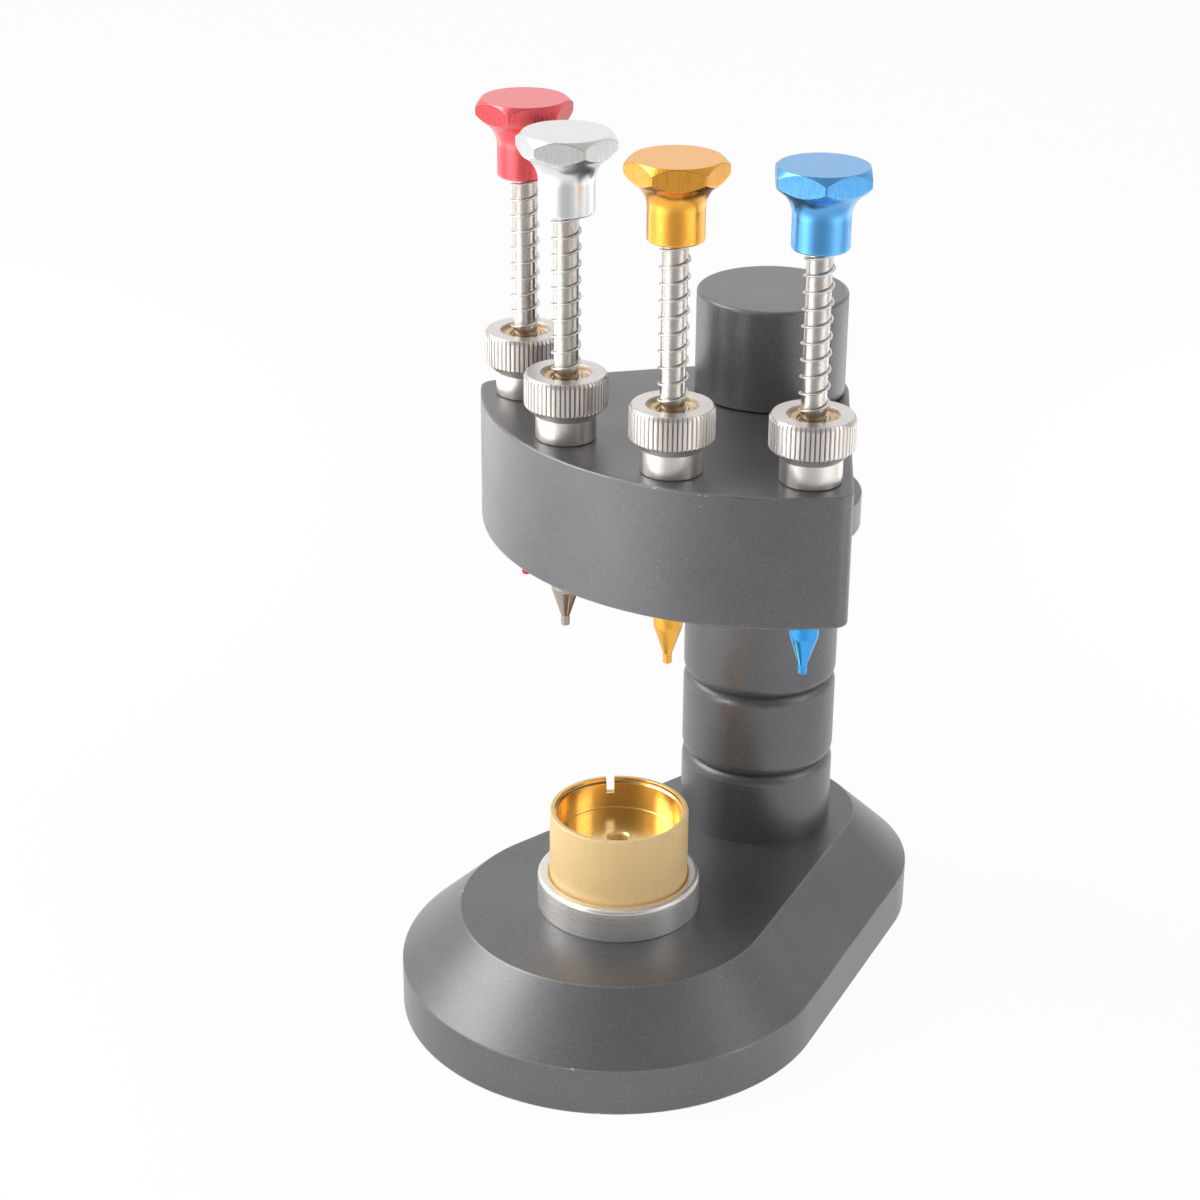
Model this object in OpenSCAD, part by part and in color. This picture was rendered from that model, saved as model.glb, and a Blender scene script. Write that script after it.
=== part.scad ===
// Watch hand press: a bench press with four sprung plungers on a turning head.
// Millimetres, +Z up, front towards -Y.
// The origin is the middle of the base plate's underside.

/* [Base] */
// Length of the base plate, front to back
base_len = 133.8; // [128:0.1:145]
// Radius of the wide front lobe
front_lobe_r = 45.3; // [42:0.1:50]
// Radius of the rear lobe
rear_lobe_r = 34; // [32:0.1:40]
// Height of the upright edge of the base
side_h = 10.6; // [9:0.1:14]
// Height of the bevel above the upright edge
bevel_h = 11.9; // [10:0.1:14]
// How far the bevel runs inwards
bevel_in = 12.4; // [9:0.1:13]

/* [Column] */
// Distance of the column's axis from the base's rear end
column_back = 35.5; // [34:0.1:40]
// Radius of the column
column_r = 16.8; // [15.5:0.1:18]
// Height of the column above the base plate
column_h = 71.25; // [68:0.05:80]
// Height of the lower groove above the base plate
groove_low = 16.4; // [12:0.1:22]
// Height of the upper groove above the base plate
groove_high = 35.6; // [30:0.1:45]
// Depth of the grooves
groove_depth = 1.3; // [0.6:0.1:2]
// Radius of the rounded shoulders beside the grooves
groove_round = 2.6; // [2.2:0.1:4]

/* [Index plate] */
// Radius of the index plate
index_r = 20.6; // [20:0.1:21.5]
// Thickness of the index plate
index_h = 7.45; // [7:0.05:9]
// How far the index plate reaches up into the head
index_sunk = 5.35; // [4.5:0.05:6.5]
// Radius of the circle of detent dimples
detent_pitch_r = 18; // [17.5:0.1:18.2]
// Radius of the detent ball
ball_r = 2; // [1.6:0.1:2]

/* [Head] */
// Distance from the column's axis to the plungers and the cup
reach = 51.7; // [51:0.1:54]
// How far the head's front stands beyond the plungers' circle
head_front = 9.45; // [9:0.05:12]
// Thickness of the head
head_h = 27.95; // [27:0.05:32]
// Angle between the head's centre line and its sides
head_half = 36.75; // [36:0.25:40]
// Rounding of the head's front corners
head_corner_r = 3.5; // [2:0.1:5]
// Angle between neighbouring plungers
station_step = 30.75; // [30:0.05:31]
// Angle at which the head is left standing
rest_turn = -3.3; // [-15:0.1:15]

/* [Cap] */
// Radius of the round cap
cap_r = 15.9; // [15:0.1:18]
// Height of the cap
cap_h = 21.85; // [20:0.05:26]

/* [Plungers] */
// Width of the knobs across the flats
knob_flats = 17.6; // [16:0.1:18.4]
// Height of the knobs
knob_h = 16; // [15:0.1:18]
// Radius of the knobs' round shank
shank_r = 5.6; // [5:0.1:6.5]
// Radius of the rods
rod_r = 2.5; // [2.3:0.05:2.6]
// Height of the return springs at rest
spring_len = 33.7; // [31:0.1:36]
// Radius of the return springs' coil line
coil_r = 3; // [2.95:0.01:3.1]
// Thickness of the spring wire
wire_d = 0.5; // [0.4:0.05:0.5]
// Turns of each return spring
spring_turns = 9; // [7:1:10]
// Radius of the collars over the knurl
knurl_r = 8.5; // [8.2:0.1:8.6]
// Radius of the collars' plain foot
collar_foot_r = 6.2; // [6.1:0.1:7]
// Height of the collars above the head
collar_h = 13.8; // [13:0.1:16]
// Number of ridges in the knurl
knurl_count = 54; // [48:1:64]
// Radius of the plastic tips
tip_r = 2.95; // [2.8:0.05:3.2]
// Radius of the tips' nib
nib_r = 0.9; // [0.7:0.05:1.2]
// How far the nibs reach below the head
tip_drop = 14; // [13:0.1:18]

/* [Seat ring and cup] */
// Radius of the seat ring
ring_r = 17.2; // [16.8:0.1:19]
// Height of the seat ring
ring_h = 7.4; // [6.8:0.1:9]
// Radius of the movement cup
cup_r = 14.6; // [14.3:0.1:15]
// Height of the cup's rim above the base plate
cup_top = 22.4; // [21.5:0.1:26]
// Radius of the cup's upper well
well_r = 13.05; // [12.5:0.05:13.3]
// Depth of the cup's upper well
well_depth = 7; // [5:0.1:7.4]
// Direction of the stem notch, counted from +X
notch_dir = 135; // [90:1:180]

/* [Fits] */
// Play of fixed pieces, each side
fit_gap = 0.02; // [0.01:0.01:0.04]
// Play of pieces that turn or slide, each side
run_gap = 0.05; // [0.02:0.01:0.1]
// Play of the cup in its ring, each side
seat_gap = 0.08; // [0.04:0.01:0.1]

/* [Hidden] */
$fn = 72;
TONES = ["red", "silver", "gold", "blue"];
STAND_PIECES = ["base", "column", "column_screw", "index_plate", "index_dowels", "spindle",
                "thrust_washer", "cap_washer", "cap", "seat_ring", "seat_screw", "movement_cup"];
HEAD_PIECES = ["head", "head_bush", "detent_ball", "detent_spring"];
PLUNGER_PIECES = ["collar", "guide_bush", "lower_bush", "return_spring", "knob", "rod", "clip", "tip"];

// Colours
DARK = [0.33, 0.33, 0.34];
STEEL = [0.74, 0.74, 0.75];
BRASS = [0.84, 0.66, 0.36];
BRONZE = [0.72, 0.50, 0.30];
TONE_RGB = [[0.90, 0.16, 0.22], [0.86, 0.87, 0.88], [0.95, 0.64, 0.16], [0.22, 0.50, 0.88]];

// How far cutting shapes run past the faces they cut, and joined shapes into each other
lap = 1;
// Room at the ends of holes
end_room = 0.3;
// Small step that makes an arc cross the line or arc it runs into, where it would only touch
tangent_step = 0.01;

// Heights of the stand
base_h = side_h + bevel_h;
column_top = base_h + column_h;
plate_top = column_top + index_h;
front_lobe_y = front_lobe_r - base_len / 2;
rear_lobe_y = base_len / 2 - rear_lobe_r;
column_y = base_len / 2 - column_back;
cup_y = column_y - reach;
socket_depth = 3;
column_low = base_h - socket_depth;

// Screws: shank radius, head radius, head height, height of the head's seat
m8_r = 4;
m8_head_r = 6.5;
m8_head_h = 8;
m8_seat = 9;
m8_grip = 20;
m4_r = 2;
m4_head_r = 3.5;
m4_head_h = 4;
m4_seat = 12;
m4_tip_room = 1;
key_share = 0.55;
screw_play = 0.3;

// Spindle, dowels and washers
stud_r = 5;
stud_len = 20;
shoulder_r = 9;
shoulder_h = 3;
journal_r = 7;
cap_grip = 15;
dowel_r = 1.5;
dowel_half = 6;
dowel_pitch_r = 11.5;
thrust_h = 1;
thrust_out_r = 15;
cap_washer_h = 1.2;
cap_washer_out_r = 12;
cap_lift = 0.25;
cap_edge = 0.5;

// Head
head_r = reach + head_front;
head_low = plate_top - index_sunk;
head_top = head_low + head_h;
plate_room = 0.4;
ceiling_gap = 0.2;
ceiling = plate_top + ceiling_gap;
washer_room = 0.3;
journal_top = head_top + run_gap + cap_washer_h;
shoulder_top = plate_top + shoulder_h;
bush_wall = 2;
bush_r = journal_r + run_gap + bush_wall;
bush_low = shoulder_top + 2 * run_gap;
ball_z = plate_top + ball_r + run_gap / 2;
detent_roof = 9.4;
ball_bore_top = head_top - detent_roof;
dimple_play = 0.2;
dimple_r = ball_r + dimple_play;
dimple_depth = 0.6;
detent_coil_r = 1.3;
detent_turns = 4;

// Plungers, from the head's top upwards
guide_len = 8;
guide_wall = 2.1;
guide_sunk = 0.7;
guide_r = rod_r + run_gap + guide_wall;
guide_top = head_top + collar_h - guide_sunk;
recess_step = 0.55;
recess_r = guide_r + recess_step;
spigot_step = 0.2;
holder_r = collar_foot_r - spigot_step;
holder_len = 8;
holder_gap = 1.35;
holder_play = 0.7;
holder_room_r = rod_r + holder_play;
knob_low = guide_top + spring_len;
knob_grip = 8;

// Knobs, counted from their lower end
knob_edge = 0.6;
knob_corner_r = knob_flats / 2 / cos(30);
flare_low = 6.3;
hex_h = 4.4;
hex_low = knob_h - hex_h;
hex_top_drop = 1;
hex_under_drop = 1;

// Collar bands, counted from the head's top
foot_band = 5;
knurl_low_band = 7.2;
knurl_bevel = 1.15;
knurl_depth = 0.4;
core_drop = 0.1;

// Plungers, below the head's top
tip_room_h = 10.6;
lower_bush_wall = 1.5;
lower_bush_r = rod_r + run_gap + lower_bush_wall;
lower_bush_low = head_low + tip_room_h;
lower_bush_len = head_top - holder_len - holder_gap - lower_bush_low;
clip_h = 0.8;
clip_out_r = 3.9;
clip_neck_r = 2.2;
clip_room = 0.5;
tip_room_r = clip_out_r + clip_room;
clip_top = lower_bush_low - run_gap;
clip_low = clip_top - clip_h;
clip_to_tip = 3;
tip_top = clip_low - clip_to_tip;
rod_foot_r = 1.7;
rod_foot_len = 8;
nib_low = head_low - tip_drop;
nib_len = 2.1;
cone_len = 6;
tip_edge = 0.35;

// Seat ring and cup
ring_floor = 3;
ring_edge = 0.8;
ring_bevel = 0.5;
spigot_r = 8;
spigot_len = 4;
cup_low = base_h + ring_floor + run_gap;
cup_rim = base_h + cup_top;
low_well_r = 11.65;
low_well_depth = 5.5;
hole_r = 2.1;
hole_bevel = 0.45;
rim_bevel = 0.3;
notch_w = 1.9;
notch_depth = 3.5;

// Directions of the knobs' corners, seen from above, counted from the front
knob_corner_dir = [20, 58, 8, 36];

// Angle of plunger i about the column, counted from the front, at rest
function plunger_turn(i) = rest_turn + (i - 1.5) * station_step;

// Place of a point at radius r and angle t about the column's axis
function about_column(r, t) = [r * sin(t), column_y - r * cos(t), 0];

// Points on an arc about [x, y], n steps from angle a to angle b
function arc(x, y, r, a, b, n) =
    [for (k = [0:n]) let(t = a + (b - a) * k / n) [x + r * cos(t), y + r * sin(t)]];

// Outline of one groove in a turned side of radius r: two round shoulders that meet at height z
groove_turn = acos((groove_round - groove_depth) / groove_round);
function groove_outline(r, z) = let(
    half = groove_round * sin(groove_turn),
    x = r - groove_round
) concat(
    arc(x, z - half, groove_round, 0, groove_turn, 5),
    arc(x, z + half, groove_round, -groove_turn, 0, 5)
);

// A round bar with a hexagonal key socket in its lower end
module socket_screw(bar_r, head_r, head_h, grip) {
    difference() {
        union() {
            cylinder(r = head_r, h = head_h);
            translate([0, 0, head_h]) cylinder(r = bar_r, h = grip);
        }
        translate([0, 0, -lap]) cylinder(r = head_r * key_share, h = lap + head_h / 2, $fn = 6);
    }
}

// A flat ring or sleeve
module sleeve(out_r, in_r, h) {
    difference() {
        cylinder(r = out_r, h = h);
        translate([0, 0, -lap]) cylinder(r = in_r, h = h + 2 * lap);
    }
}

// A cylinder from height low to height high, which runs past its lower end by one lap
module hole_up(r, low, high) {
    translate([0, 0, low - lap]) cylinder(r = r, h = high - low + lap);
}

// A cylinder from height low to height high, which runs past its upper end by one lap
module hole_down(r, low, high) {
    translate([0, 0, low]) cylinder(r = r, h = high - low + lap);
}

// Rings of one spring's wire: a helix with ends that stand upright for one wire thickness.
// Eight rings a turn and six sides. The path starts and ends at heights 0 and h.
RINGS = 8;
SIDES = 6;
function coil_path(r, h, turns, d) = let(
    n = turns * RINGS,
    rise = (h - 4 * d) / n
) concat(
    [[r, 0, 0], [r, 0, d]],
    [for (k = [1:n - 1]) [r * cos(k * 360 / RINGS), r * sin(k * 360 / RINGS), 2 * d + rise * k]],
    [[r, 0, h - d], [r, 0, h]]
);
function unit(v) = v / norm(v);
function flow(p, k) = let(last = len(p) - 1)
    k == 0 || k == last ? [0, 0, 1] : unit(unit(p[k + 1] - p[k]) + unit(p[k] - p[k - 1]));
function wire_ring(p, k, d) = let(
    t = flow(p, k),
    out = unit([p[k][0], p[k][1], 0] - ([p[k][0], p[k][1], 0] * t) * t),
    side = cross(t, out)
) [for (s = [0:SIDES - 1]) let(a = (s + 0.5) * 360 / SIDES) p[k] + d / 2 * (cos(a) * out + sin(a) * side)];

module coil_spring(r, h, turns, d) {
    path = coil_path(r, h, turns, d);
    last = len(path) - 1;
    points = [for (k = [0:last]) each wire_ring(path, k, d)];
    walls = [for (k = [0:last - 1]) for (s = [0:SIDES - 1]) let(
        a = k * SIDES + s,
        b = k * SIDES + (s + 1) % SIDES
    ) each [[a, a + SIDES, b], [b, a + SIDES, b + SIDES]]];
    low_cap = [for (s = [1:SIDES - 2]) [0, s, s + 1]];
    high_cap = [for (s = [1:SIDES - 2]) [last * SIDES, last * SIDES + s + 1, last * SIDES + s]];
    polyhedron(points = points, faces = concat(walls, low_cap, high_cap));
}

// Smallest gap between one turn of a spring and the next, surface to surface
function turn_gap(r, h, turns, d) = let(path = coil_path(r, h, turns, d), last = len(path) - 1)
    min([for (a = [0:last - 4]) for (b = [a + 4:last]) norm(path[a] - path[b])]) - d;
echo(return_spring_gap = turn_gap(coil_r, spring_len, spring_turns, wire_d));

// Base plate: upright edge and wide bevel over both lobes, drilled for the column and the ring
module base() {
    color(DARK) difference() {
        union() {
            hull() {
                translate([0, front_lobe_y, 0]) cylinder(r = front_lobe_r, h = side_h, $fn = 128);
                translate([0, rear_lobe_y, 0]) cylinder(r = rear_lobe_r, h = side_h, $fn = 128);
            }
            translate([0, 0, side_h]) hull() {
                translate([0, front_lobe_y, 0])
                    cylinder(r1 = front_lobe_r, r2 = front_lobe_r - bevel_in, h = bevel_h, $fn = 128);
                translate([0, rear_lobe_y, 0])
                    cylinder(r1 = rear_lobe_r, r2 = rear_lobe_r - bevel_in, h = bevel_h, $fn = 128);
            }
        }
        translate([0, column_y, 0]) {
            hole_down(column_r + fit_gap, column_low, base_h);
            hole_up(m8_r + screw_play, 0, column_low + lap);
            hole_up(m8_head_r + screw_play, 0, m8_seat);
        }
        translate([0, cup_y, 0]) {
            hole_down(spigot_r + fit_gap, base_h - spigot_len - end_room, base_h);
            hole_up(m4_r + screw_play, 0, base_h - spigot_len);
            hole_up(m4_head_r + screw_play, 0, m4_seat);
        }
    }
}

// Turned column with two grooves, threaded hole below, stud hole and dowel holes above
module column() {
    outline = concat(
        [[0, column_low], [column_r, column_low]],
        groove_outline(column_r, base_h + groove_low),
        groove_outline(column_r, base_h + groove_high),
        [[column_r, column_top], [0, column_top]]
    );
    color(DARK) difference() {
        translate([0, column_y, 0]) rotate_extrude() polygon(outline);
        translate([0, column_y, 0]) {
            hole_up(m8_r + fit_gap, column_low, column_low + m8_grip + end_room);
            hole_down(stud_r + fit_gap, column_top - stud_len - end_room, column_top);
        }
        dowel_places() hole_down(dowel_r + fit_gap, -dowel_half - end_room, 0);
    }
}

// The two dowels' places, at the joint of column and index plate
module dowel_places() {
    for (side = [-1, 1]) translate([side * dowel_pitch_r, column_y, column_top]) children();
}

module column_screw() {
    color(STEEL) translate([0, column_y, m8_seat - m8_head_h])
        socket_screw(m8_r, m8_head_r, m8_head_h, column_low - m8_seat + m8_grip);
}

// Index plate with four dimples for the detent ball
module index_plate() {
    color(DARK) difference() {
        translate([0, column_y, column_top]) cylinder(r = index_r, h = index_h);
        translate([0, column_y, 0]) hole_up(stud_r + fit_gap, column_top, plate_top + lap);
        dowel_places() hole_up(dowel_r + fit_gap, 0, dowel_half + end_room);
        for (i = [0:3])
            translate(about_column(detent_pitch_r, (i - 1.5) * station_step))
                translate([0, 0, plate_top + dimple_r - dimple_depth]) sphere(r = dimple_r);
    }
}

module index_dowels() {
    color(STEEL) dowel_places() translate([0, 0, -dowel_half]) cylinder(r = dowel_r, h = 2 * dowel_half);
}

// Steel shaft: stud into the column, shoulder on the plate, journal for the head, stud for the cap
module spindle() {
    stud_low = column_top - stud_len;
    color(STEEL) translate([0, column_y, 0]) {
        translate([0, 0, stud_low]) cylinder(r = stud_r, h = journal_top + cap_grip - stud_low);
        translate([0, 0, plate_top]) cylinder(r = shoulder_r, h = shoulder_h);
        translate([0, 0, plate_top]) cylinder(r = journal_r, h = journal_top - plate_top);
    }
}

module thrust_washer() {
    color(BRONZE) translate([0, column_y, plate_top])
        sleeve(thrust_out_r, shoulder_r + washer_room, thrust_h);
}

module cap_washer() {
    color(BRONZE) translate([0, column_y, head_top + run_gap])
        sleeve(cap_washer_out_r, journal_r + run_gap, cap_washer_h);
}

// Round cap, screwed on the spindle, with a recess for its washer
module cap() {
    low = head_top + cap_lift;
    top = low + cap_h;
    color(DARK) translate([0, column_y, 0]) difference() {
        union() {
            translate([0, 0, low]) cylinder(r = cap_r, h = cap_h - cap_edge);
            translate([0, 0, top - cap_edge]) cylinder(r1 = cap_r, r2 = cap_r - cap_edge, h = cap_edge);
        }
        hole_up(cap_washer_out_r + fit_gap, low, journal_top);
        hole_up(stud_r + fit_gap, low, journal_top + cap_grip + end_room);
    }
}

// Seat ring: rounded outer edge, bevelled inner edge, spigot in the base
module seat_ring() {
    pocket_r = cup_r + seat_gap;
    outline = concat(
        [[0, -spigot_len], [spigot_r, -spigot_len], [spigot_r, 0], [ring_r, 0]],
        arc(ring_r - ring_edge, ring_h - ring_edge, ring_edge, 0, 90, 6),
        [[pocket_r + ring_bevel, ring_h], [pocket_r, ring_h - ring_bevel], [pocket_r, ring_floor],
         [0, ring_floor]]
    );
    color(STEEL) translate([0, cup_y, base_h]) difference() {
        rotate_extrude() polygon(outline);
        hole_up(m4_r + fit_gap, -spigot_len, ring_floor + lap);
    }
}

module seat_screw() {
    color(STEEL) translate([0, cup_y, m4_seat - m4_head_h])
        socket_screw(m4_r, m4_head_r, m4_head_h, base_h + ring_floor - m4_tip_room - m4_seat);
}

// Brass movement cup: a well above and a smaller one below, a centre hole and a stem notch
module movement_cup() {
    floor_z = cup_rim - well_depth;
    outline = [
        [0, cup_low], [cup_r - rim_bevel, cup_low], [cup_r, cup_low + rim_bevel],
        [cup_r, cup_rim - rim_bevel], [cup_r - rim_bevel, cup_rim], [0, cup_rim]
    ];
    color(BRASS) translate([0, cup_y, 0]) difference() {
        rotate_extrude() polygon(outline);
        hole_down(well_r, floor_z, cup_rim);
        hole_up(low_well_r, cup_low, cup_low + low_well_depth);
        hole_up(hole_r, cup_low, cup_rim);
        translate([0, 0, floor_z - hole_bevel])
            cylinder(r1 = hole_r, r2 = hole_r + 2 * hole_bevel, h = 2 * hole_bevel);
        rotate([0, 0, notch_dir]) translate([well_r - lap, -notch_w / 2, cup_rim - notch_depth])
            cube([cup_r - well_r + 2 * lap, notch_w, notch_depth + lap]);
    }
}

// Plan of the head: round hub, two straight sides, round front and rounded front corners
module head_plan() {
    far = head_r * 1.5;
    side_out = column_r - tangent_step;
    difference() {
        union() {
            circle(r = column_r, $fn = 128);
            intersection() {
                circle(r = head_r, $fn = 256);
                polygon([
                    for (s = [1, -1]) side_out * side_normal(s),
                    for (s = [-1, 1]) side_out * side_normal(s) + far * side_line(s)
                ]);
            }
        }
        for (s = [-1, 1]) corner_cut(s);
    }
}

// Unit vectors along and square to the head's sides, s = -1 left and 1 right
function side_line(s) = [s * sin(head_half), -cos(head_half)];
function side_normal(s) = [s * cos(head_half), sin(head_half)];

// What the rounding takes off one front corner
module corner_cut(s) {
    inner = column_r - head_corner_r;
    along = sqrt(pow(head_r + tangent_step - head_corner_r, 2) - inner * inner);
    centre = inner * side_normal(s) + along * side_line(s);
    outward = unit(centre);
    difference() {
        polygon([
            centre,
            centre + 2 * head_corner_r * outward,
            centre + 3 * head_corner_r * (outward + side_normal(s)),
            centre + 2 * head_corner_r * side_normal(s)
        ]);
        translate(centre) circle(r = head_corner_r);
    }
}

// Fan-shaped head, bored for the spindle, the index plate, the detent and the four plungers
module head() {
    color(DARK) difference() {
        translate([0, column_y, head_low]) rotate([0, 0, rest_turn]) linear_extrude(head_h) head_plan();
        translate([0, column_y, 0]) {
            hole_up(index_r + plate_room, head_low, ceiling);
            hole_up(thrust_out_r + washer_room, ceiling, plate_top + thrust_h + run_gap);
            hole_up(shoulder_r + washer_room, ceiling, bush_low);
            hole_down(bush_r, bush_low - lap, head_top);
        }
        translate(about_column(detent_pitch_r, rest_turn)) hole_up(ball_r + run_gap, ceiling, ball_bore_top);
        for (i = [0:3]) at_plunger(i) {
            hole_down(holder_r + fit_gap, head_top - holder_len - end_room, head_top);
            hole_up(lower_bush_r, lower_bush_low, head_top);
            hole_up(tip_room_r, head_low, lower_bush_low);
        }
    }
}

module head_bush() {
    color(BRONZE) translate([0, column_y, bush_low])
        sleeve(bush_r - fit_gap, journal_r + run_gap, head_top - bush_low);
}

module detent_ball() {
    color(STEEL) translate(about_column(detent_pitch_r, rest_turn)) translate([0, 0, ball_z]) sphere(r = ball_r);
}

// Detent spring between the ball and the end of its bore
module detent_spring() {
    touch_r = detent_coil_r - wire_d / 2;
    low = ball_z + sqrt(ball_r * ball_r - touch_r * touch_r) + fit_gap;
    color(STEEL) translate(about_column(detent_pitch_r, rest_turn)) translate([0, 0, low])
        coil_spring(detent_coil_r, ball_bore_top - low, detent_turns, wire_d);
}

// Puts children on plunger i's axis
module at_plunger(i) {
    translate(about_column(reach, plunger_turn(i))) children();
}

// Knurled holder: spigot in the head, plain foot, taper, ridged band and bevelled top
module collar(i) {
    knurl_top = collar_h - knurl_bevel;
    bush_seat = collar_h - guide_sunk - guide_len;
    ridges = [for (k = [0:2 * knurl_count - 1]) let(
        r = knurl_r - (k % 2) * knurl_depth,
        t = k * 180 / knurl_count
    ) [r * cos(t), r * sin(t)]];
    core_r = knurl_r - knurl_depth - core_drop;
    outline = [
        [0, -holder_len], [holder_r, -holder_len], [holder_r, 0], [collar_foot_r, 0],
        [collar_foot_r, foot_band], [core_r, knurl_low_band], [core_r, knurl_top],
        [knurl_r - knurl_bevel, collar_h], [0, collar_h]
    ];
    color(STEEL) at_plunger(i) translate([0, 0, head_top]) difference() {
        union() {
            rotate_extrude() polygon(outline);
            translate([0, 0, knurl_low_band]) linear_extrude(knurl_top - knurl_low_band) polygon(ridges);
        }
        hole_up(holder_room_r, -holder_len, bush_seat + lap);
        hole_down(guide_r + fit_gap, bush_seat, collar_h);
        hole_down(recess_r, collar_h - guide_sunk, collar_h);
    }
}

// Brass sleeve in the collar
module guide_bush(i) {
    color(BRASS) at_plunger(i) translate([0, 0, guide_top - guide_len])
        sleeve(guide_r, rod_r + run_gap, guide_len);
}

// Brass sleeve low in the head
module lower_bush(i) {
    color(BRASS) at_plunger(i) translate([0, 0, lower_bush_low])
        sleeve(lower_bush_r - fit_gap, rod_r + run_gap, lower_bush_len);
}

module return_spring(i) {
    color(STEEL) at_plunger(i) translate([0, 0, guide_top])
        coil_spring(coil_r, spring_len, spring_turns, wire_d);
}

// Push knob: hexagon cut from a turned outline with a flared shank
module knob(i) {
    flat_r = knob_flats / 2;
    far_r = knob_corner_r + lap;
    under = hex_under_drop / (knob_corner_r - flat_r) * (far_r - flat_r);
    over = hex_top_drop / (knob_corner_r - flat_r) * (far_r - flat_r);
    flare_out = flat_r - shank_r;
    flare_up = hex_low - flare_low;
    flare_r = (flare_out * flare_out + flare_up * flare_up) / (2 * flare_out);
    outline = concat(
        [[0, 0], [shank_r - knob_edge, 0], [shank_r, knob_edge]],
        arc(shank_r + flare_r, flare_low, flare_r, 180, acos((flare_out - flare_r) / flare_r), 6),
        [[far_r, hex_low + under], [far_r, knob_h - over], [flat_r, knob_h], [0, knob_h]]
    );
    color(TONE_RGB[i]) at_plunger(i) translate([0, 0, knob_low]) difference() {
        intersection() {
            rotate_extrude() polygon(outline);
            rotate([0, 0, knob_corner_dir[i] - 90]) translate([0, 0, -lap])
                cylinder(r = knob_corner_r, h = knob_h + 2 * lap, $fn = 6);
        }
        hole_up(rod_r + fit_gap, 0, knob_grip);
    }
}

// Steel rod with a groove for its clip and a thinner foot inside the tip
module rod(i) {
    color(STEEL) at_plunger(i) {
        translate([0, 0, clip_top]) cylinder(r = rod_r, h = knob_low + knob_grip - clip_top);
        translate([0, 0, clip_low - lap]) cylinder(r = clip_neck_r, h = clip_h + 2 * lap);
        translate([0, 0, tip_top]) cylinder(r = rod_r, h = clip_low - tip_top);
        translate([0, 0, tip_top - rod_foot_len]) cylinder(r = rod_foot_r, h = rod_foot_len + lap);
    }
}

module clip(i) {
    color(STEEL) at_plunger(i) translate([0, 0, clip_low])
        sleeve(clip_out_r, clip_neck_r + fit_gap, clip_h);
}

// Plastic tip: cylinder, cone and thin nib
module tip(i) {
    nib_top = nib_low + nib_len;
    cone_top = nib_top + cone_len;
    color(TONE_RGB[i]) at_plunger(i) difference() {
        rotate_extrude() polygon([
            [0, nib_low], [nib_r, nib_low], [nib_r, nib_top], [tip_r - tip_edge, cone_top],
            [tip_r, cone_top + 2 * tip_edge], [tip_r, tip_top], [0, tip_top]
        ]);
        hole_down(rod_foot_r + fit_gap, tip_top - rod_foot_len - end_room, tip_top);
    }
}

base();
column();
column_screw();
index_plate();
index_dowels();
spindle();
thrust_washer();
cap_washer();
cap();
seat_ring();
seat_screw();
movement_cup();
head();
head_bush();
detent_ball();
detent_spring();
for (i = [0:3]) {
    collar(i);
    guide_bush(i);
    lower_bush(i);
    return_spring(i);
    knob(i);
    rod(i);
    clip(i);
    tip(i);
}
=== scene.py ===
"""Looks of the watch hand press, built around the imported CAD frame.

Shapes are worked out in millimetres and stored in metres, in the CAD's own frame:
+Z up, front towards -Y, origin in the middle of the base plate's underside.
"""

import math

import bmesh
import bpy
import numpy as np
from bpy.props import FloatProperty, FloatVectorProperty, IntProperty, PointerProperty
from mathutils import Matrix, Vector
from mathutils.geometry import delaunay_2d_cdt


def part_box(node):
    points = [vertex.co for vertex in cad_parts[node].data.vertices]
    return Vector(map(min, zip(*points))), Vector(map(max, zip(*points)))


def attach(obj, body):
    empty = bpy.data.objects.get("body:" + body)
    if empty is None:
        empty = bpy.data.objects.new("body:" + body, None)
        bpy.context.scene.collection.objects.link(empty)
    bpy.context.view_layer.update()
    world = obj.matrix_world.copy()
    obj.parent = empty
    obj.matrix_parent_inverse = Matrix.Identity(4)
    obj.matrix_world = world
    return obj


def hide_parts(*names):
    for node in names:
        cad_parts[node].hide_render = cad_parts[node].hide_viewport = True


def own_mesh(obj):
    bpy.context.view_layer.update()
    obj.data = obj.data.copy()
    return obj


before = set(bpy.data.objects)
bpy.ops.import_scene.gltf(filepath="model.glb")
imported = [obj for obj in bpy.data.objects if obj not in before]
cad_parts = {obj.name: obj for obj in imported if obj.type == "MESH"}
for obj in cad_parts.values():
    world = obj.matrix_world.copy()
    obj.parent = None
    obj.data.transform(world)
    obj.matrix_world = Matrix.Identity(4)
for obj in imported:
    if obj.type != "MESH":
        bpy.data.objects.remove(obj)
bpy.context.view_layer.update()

bl_info = {
    "name": "Watch hand press",
    "version": (1, 0, 0),
    "blender": (4, 5, 0),
    "location": "View3D > Sidebar > Hand Press",
    "description": "Builds the visible pieces of a watch hand press around its CAD frame",
    "category": "Object",
}

MM = 0.001
TONES = ("red", "silver", "gold", "blue")


def node_box(node):
    """Lowest and highest corner of a CAD node, in millimetres."""
    low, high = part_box(node)
    return np.array(low) / MM, np.array(high) / MM


def node_axis(node):
    """Centre in plan, radius, and lowest and highest height of a round CAD node, in millimetres."""
    low, high = node_box(node)
    return (low[:2] + high[:2]) / 2, (high[0] - low[0]) / 2, low[2], high[2]


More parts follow.
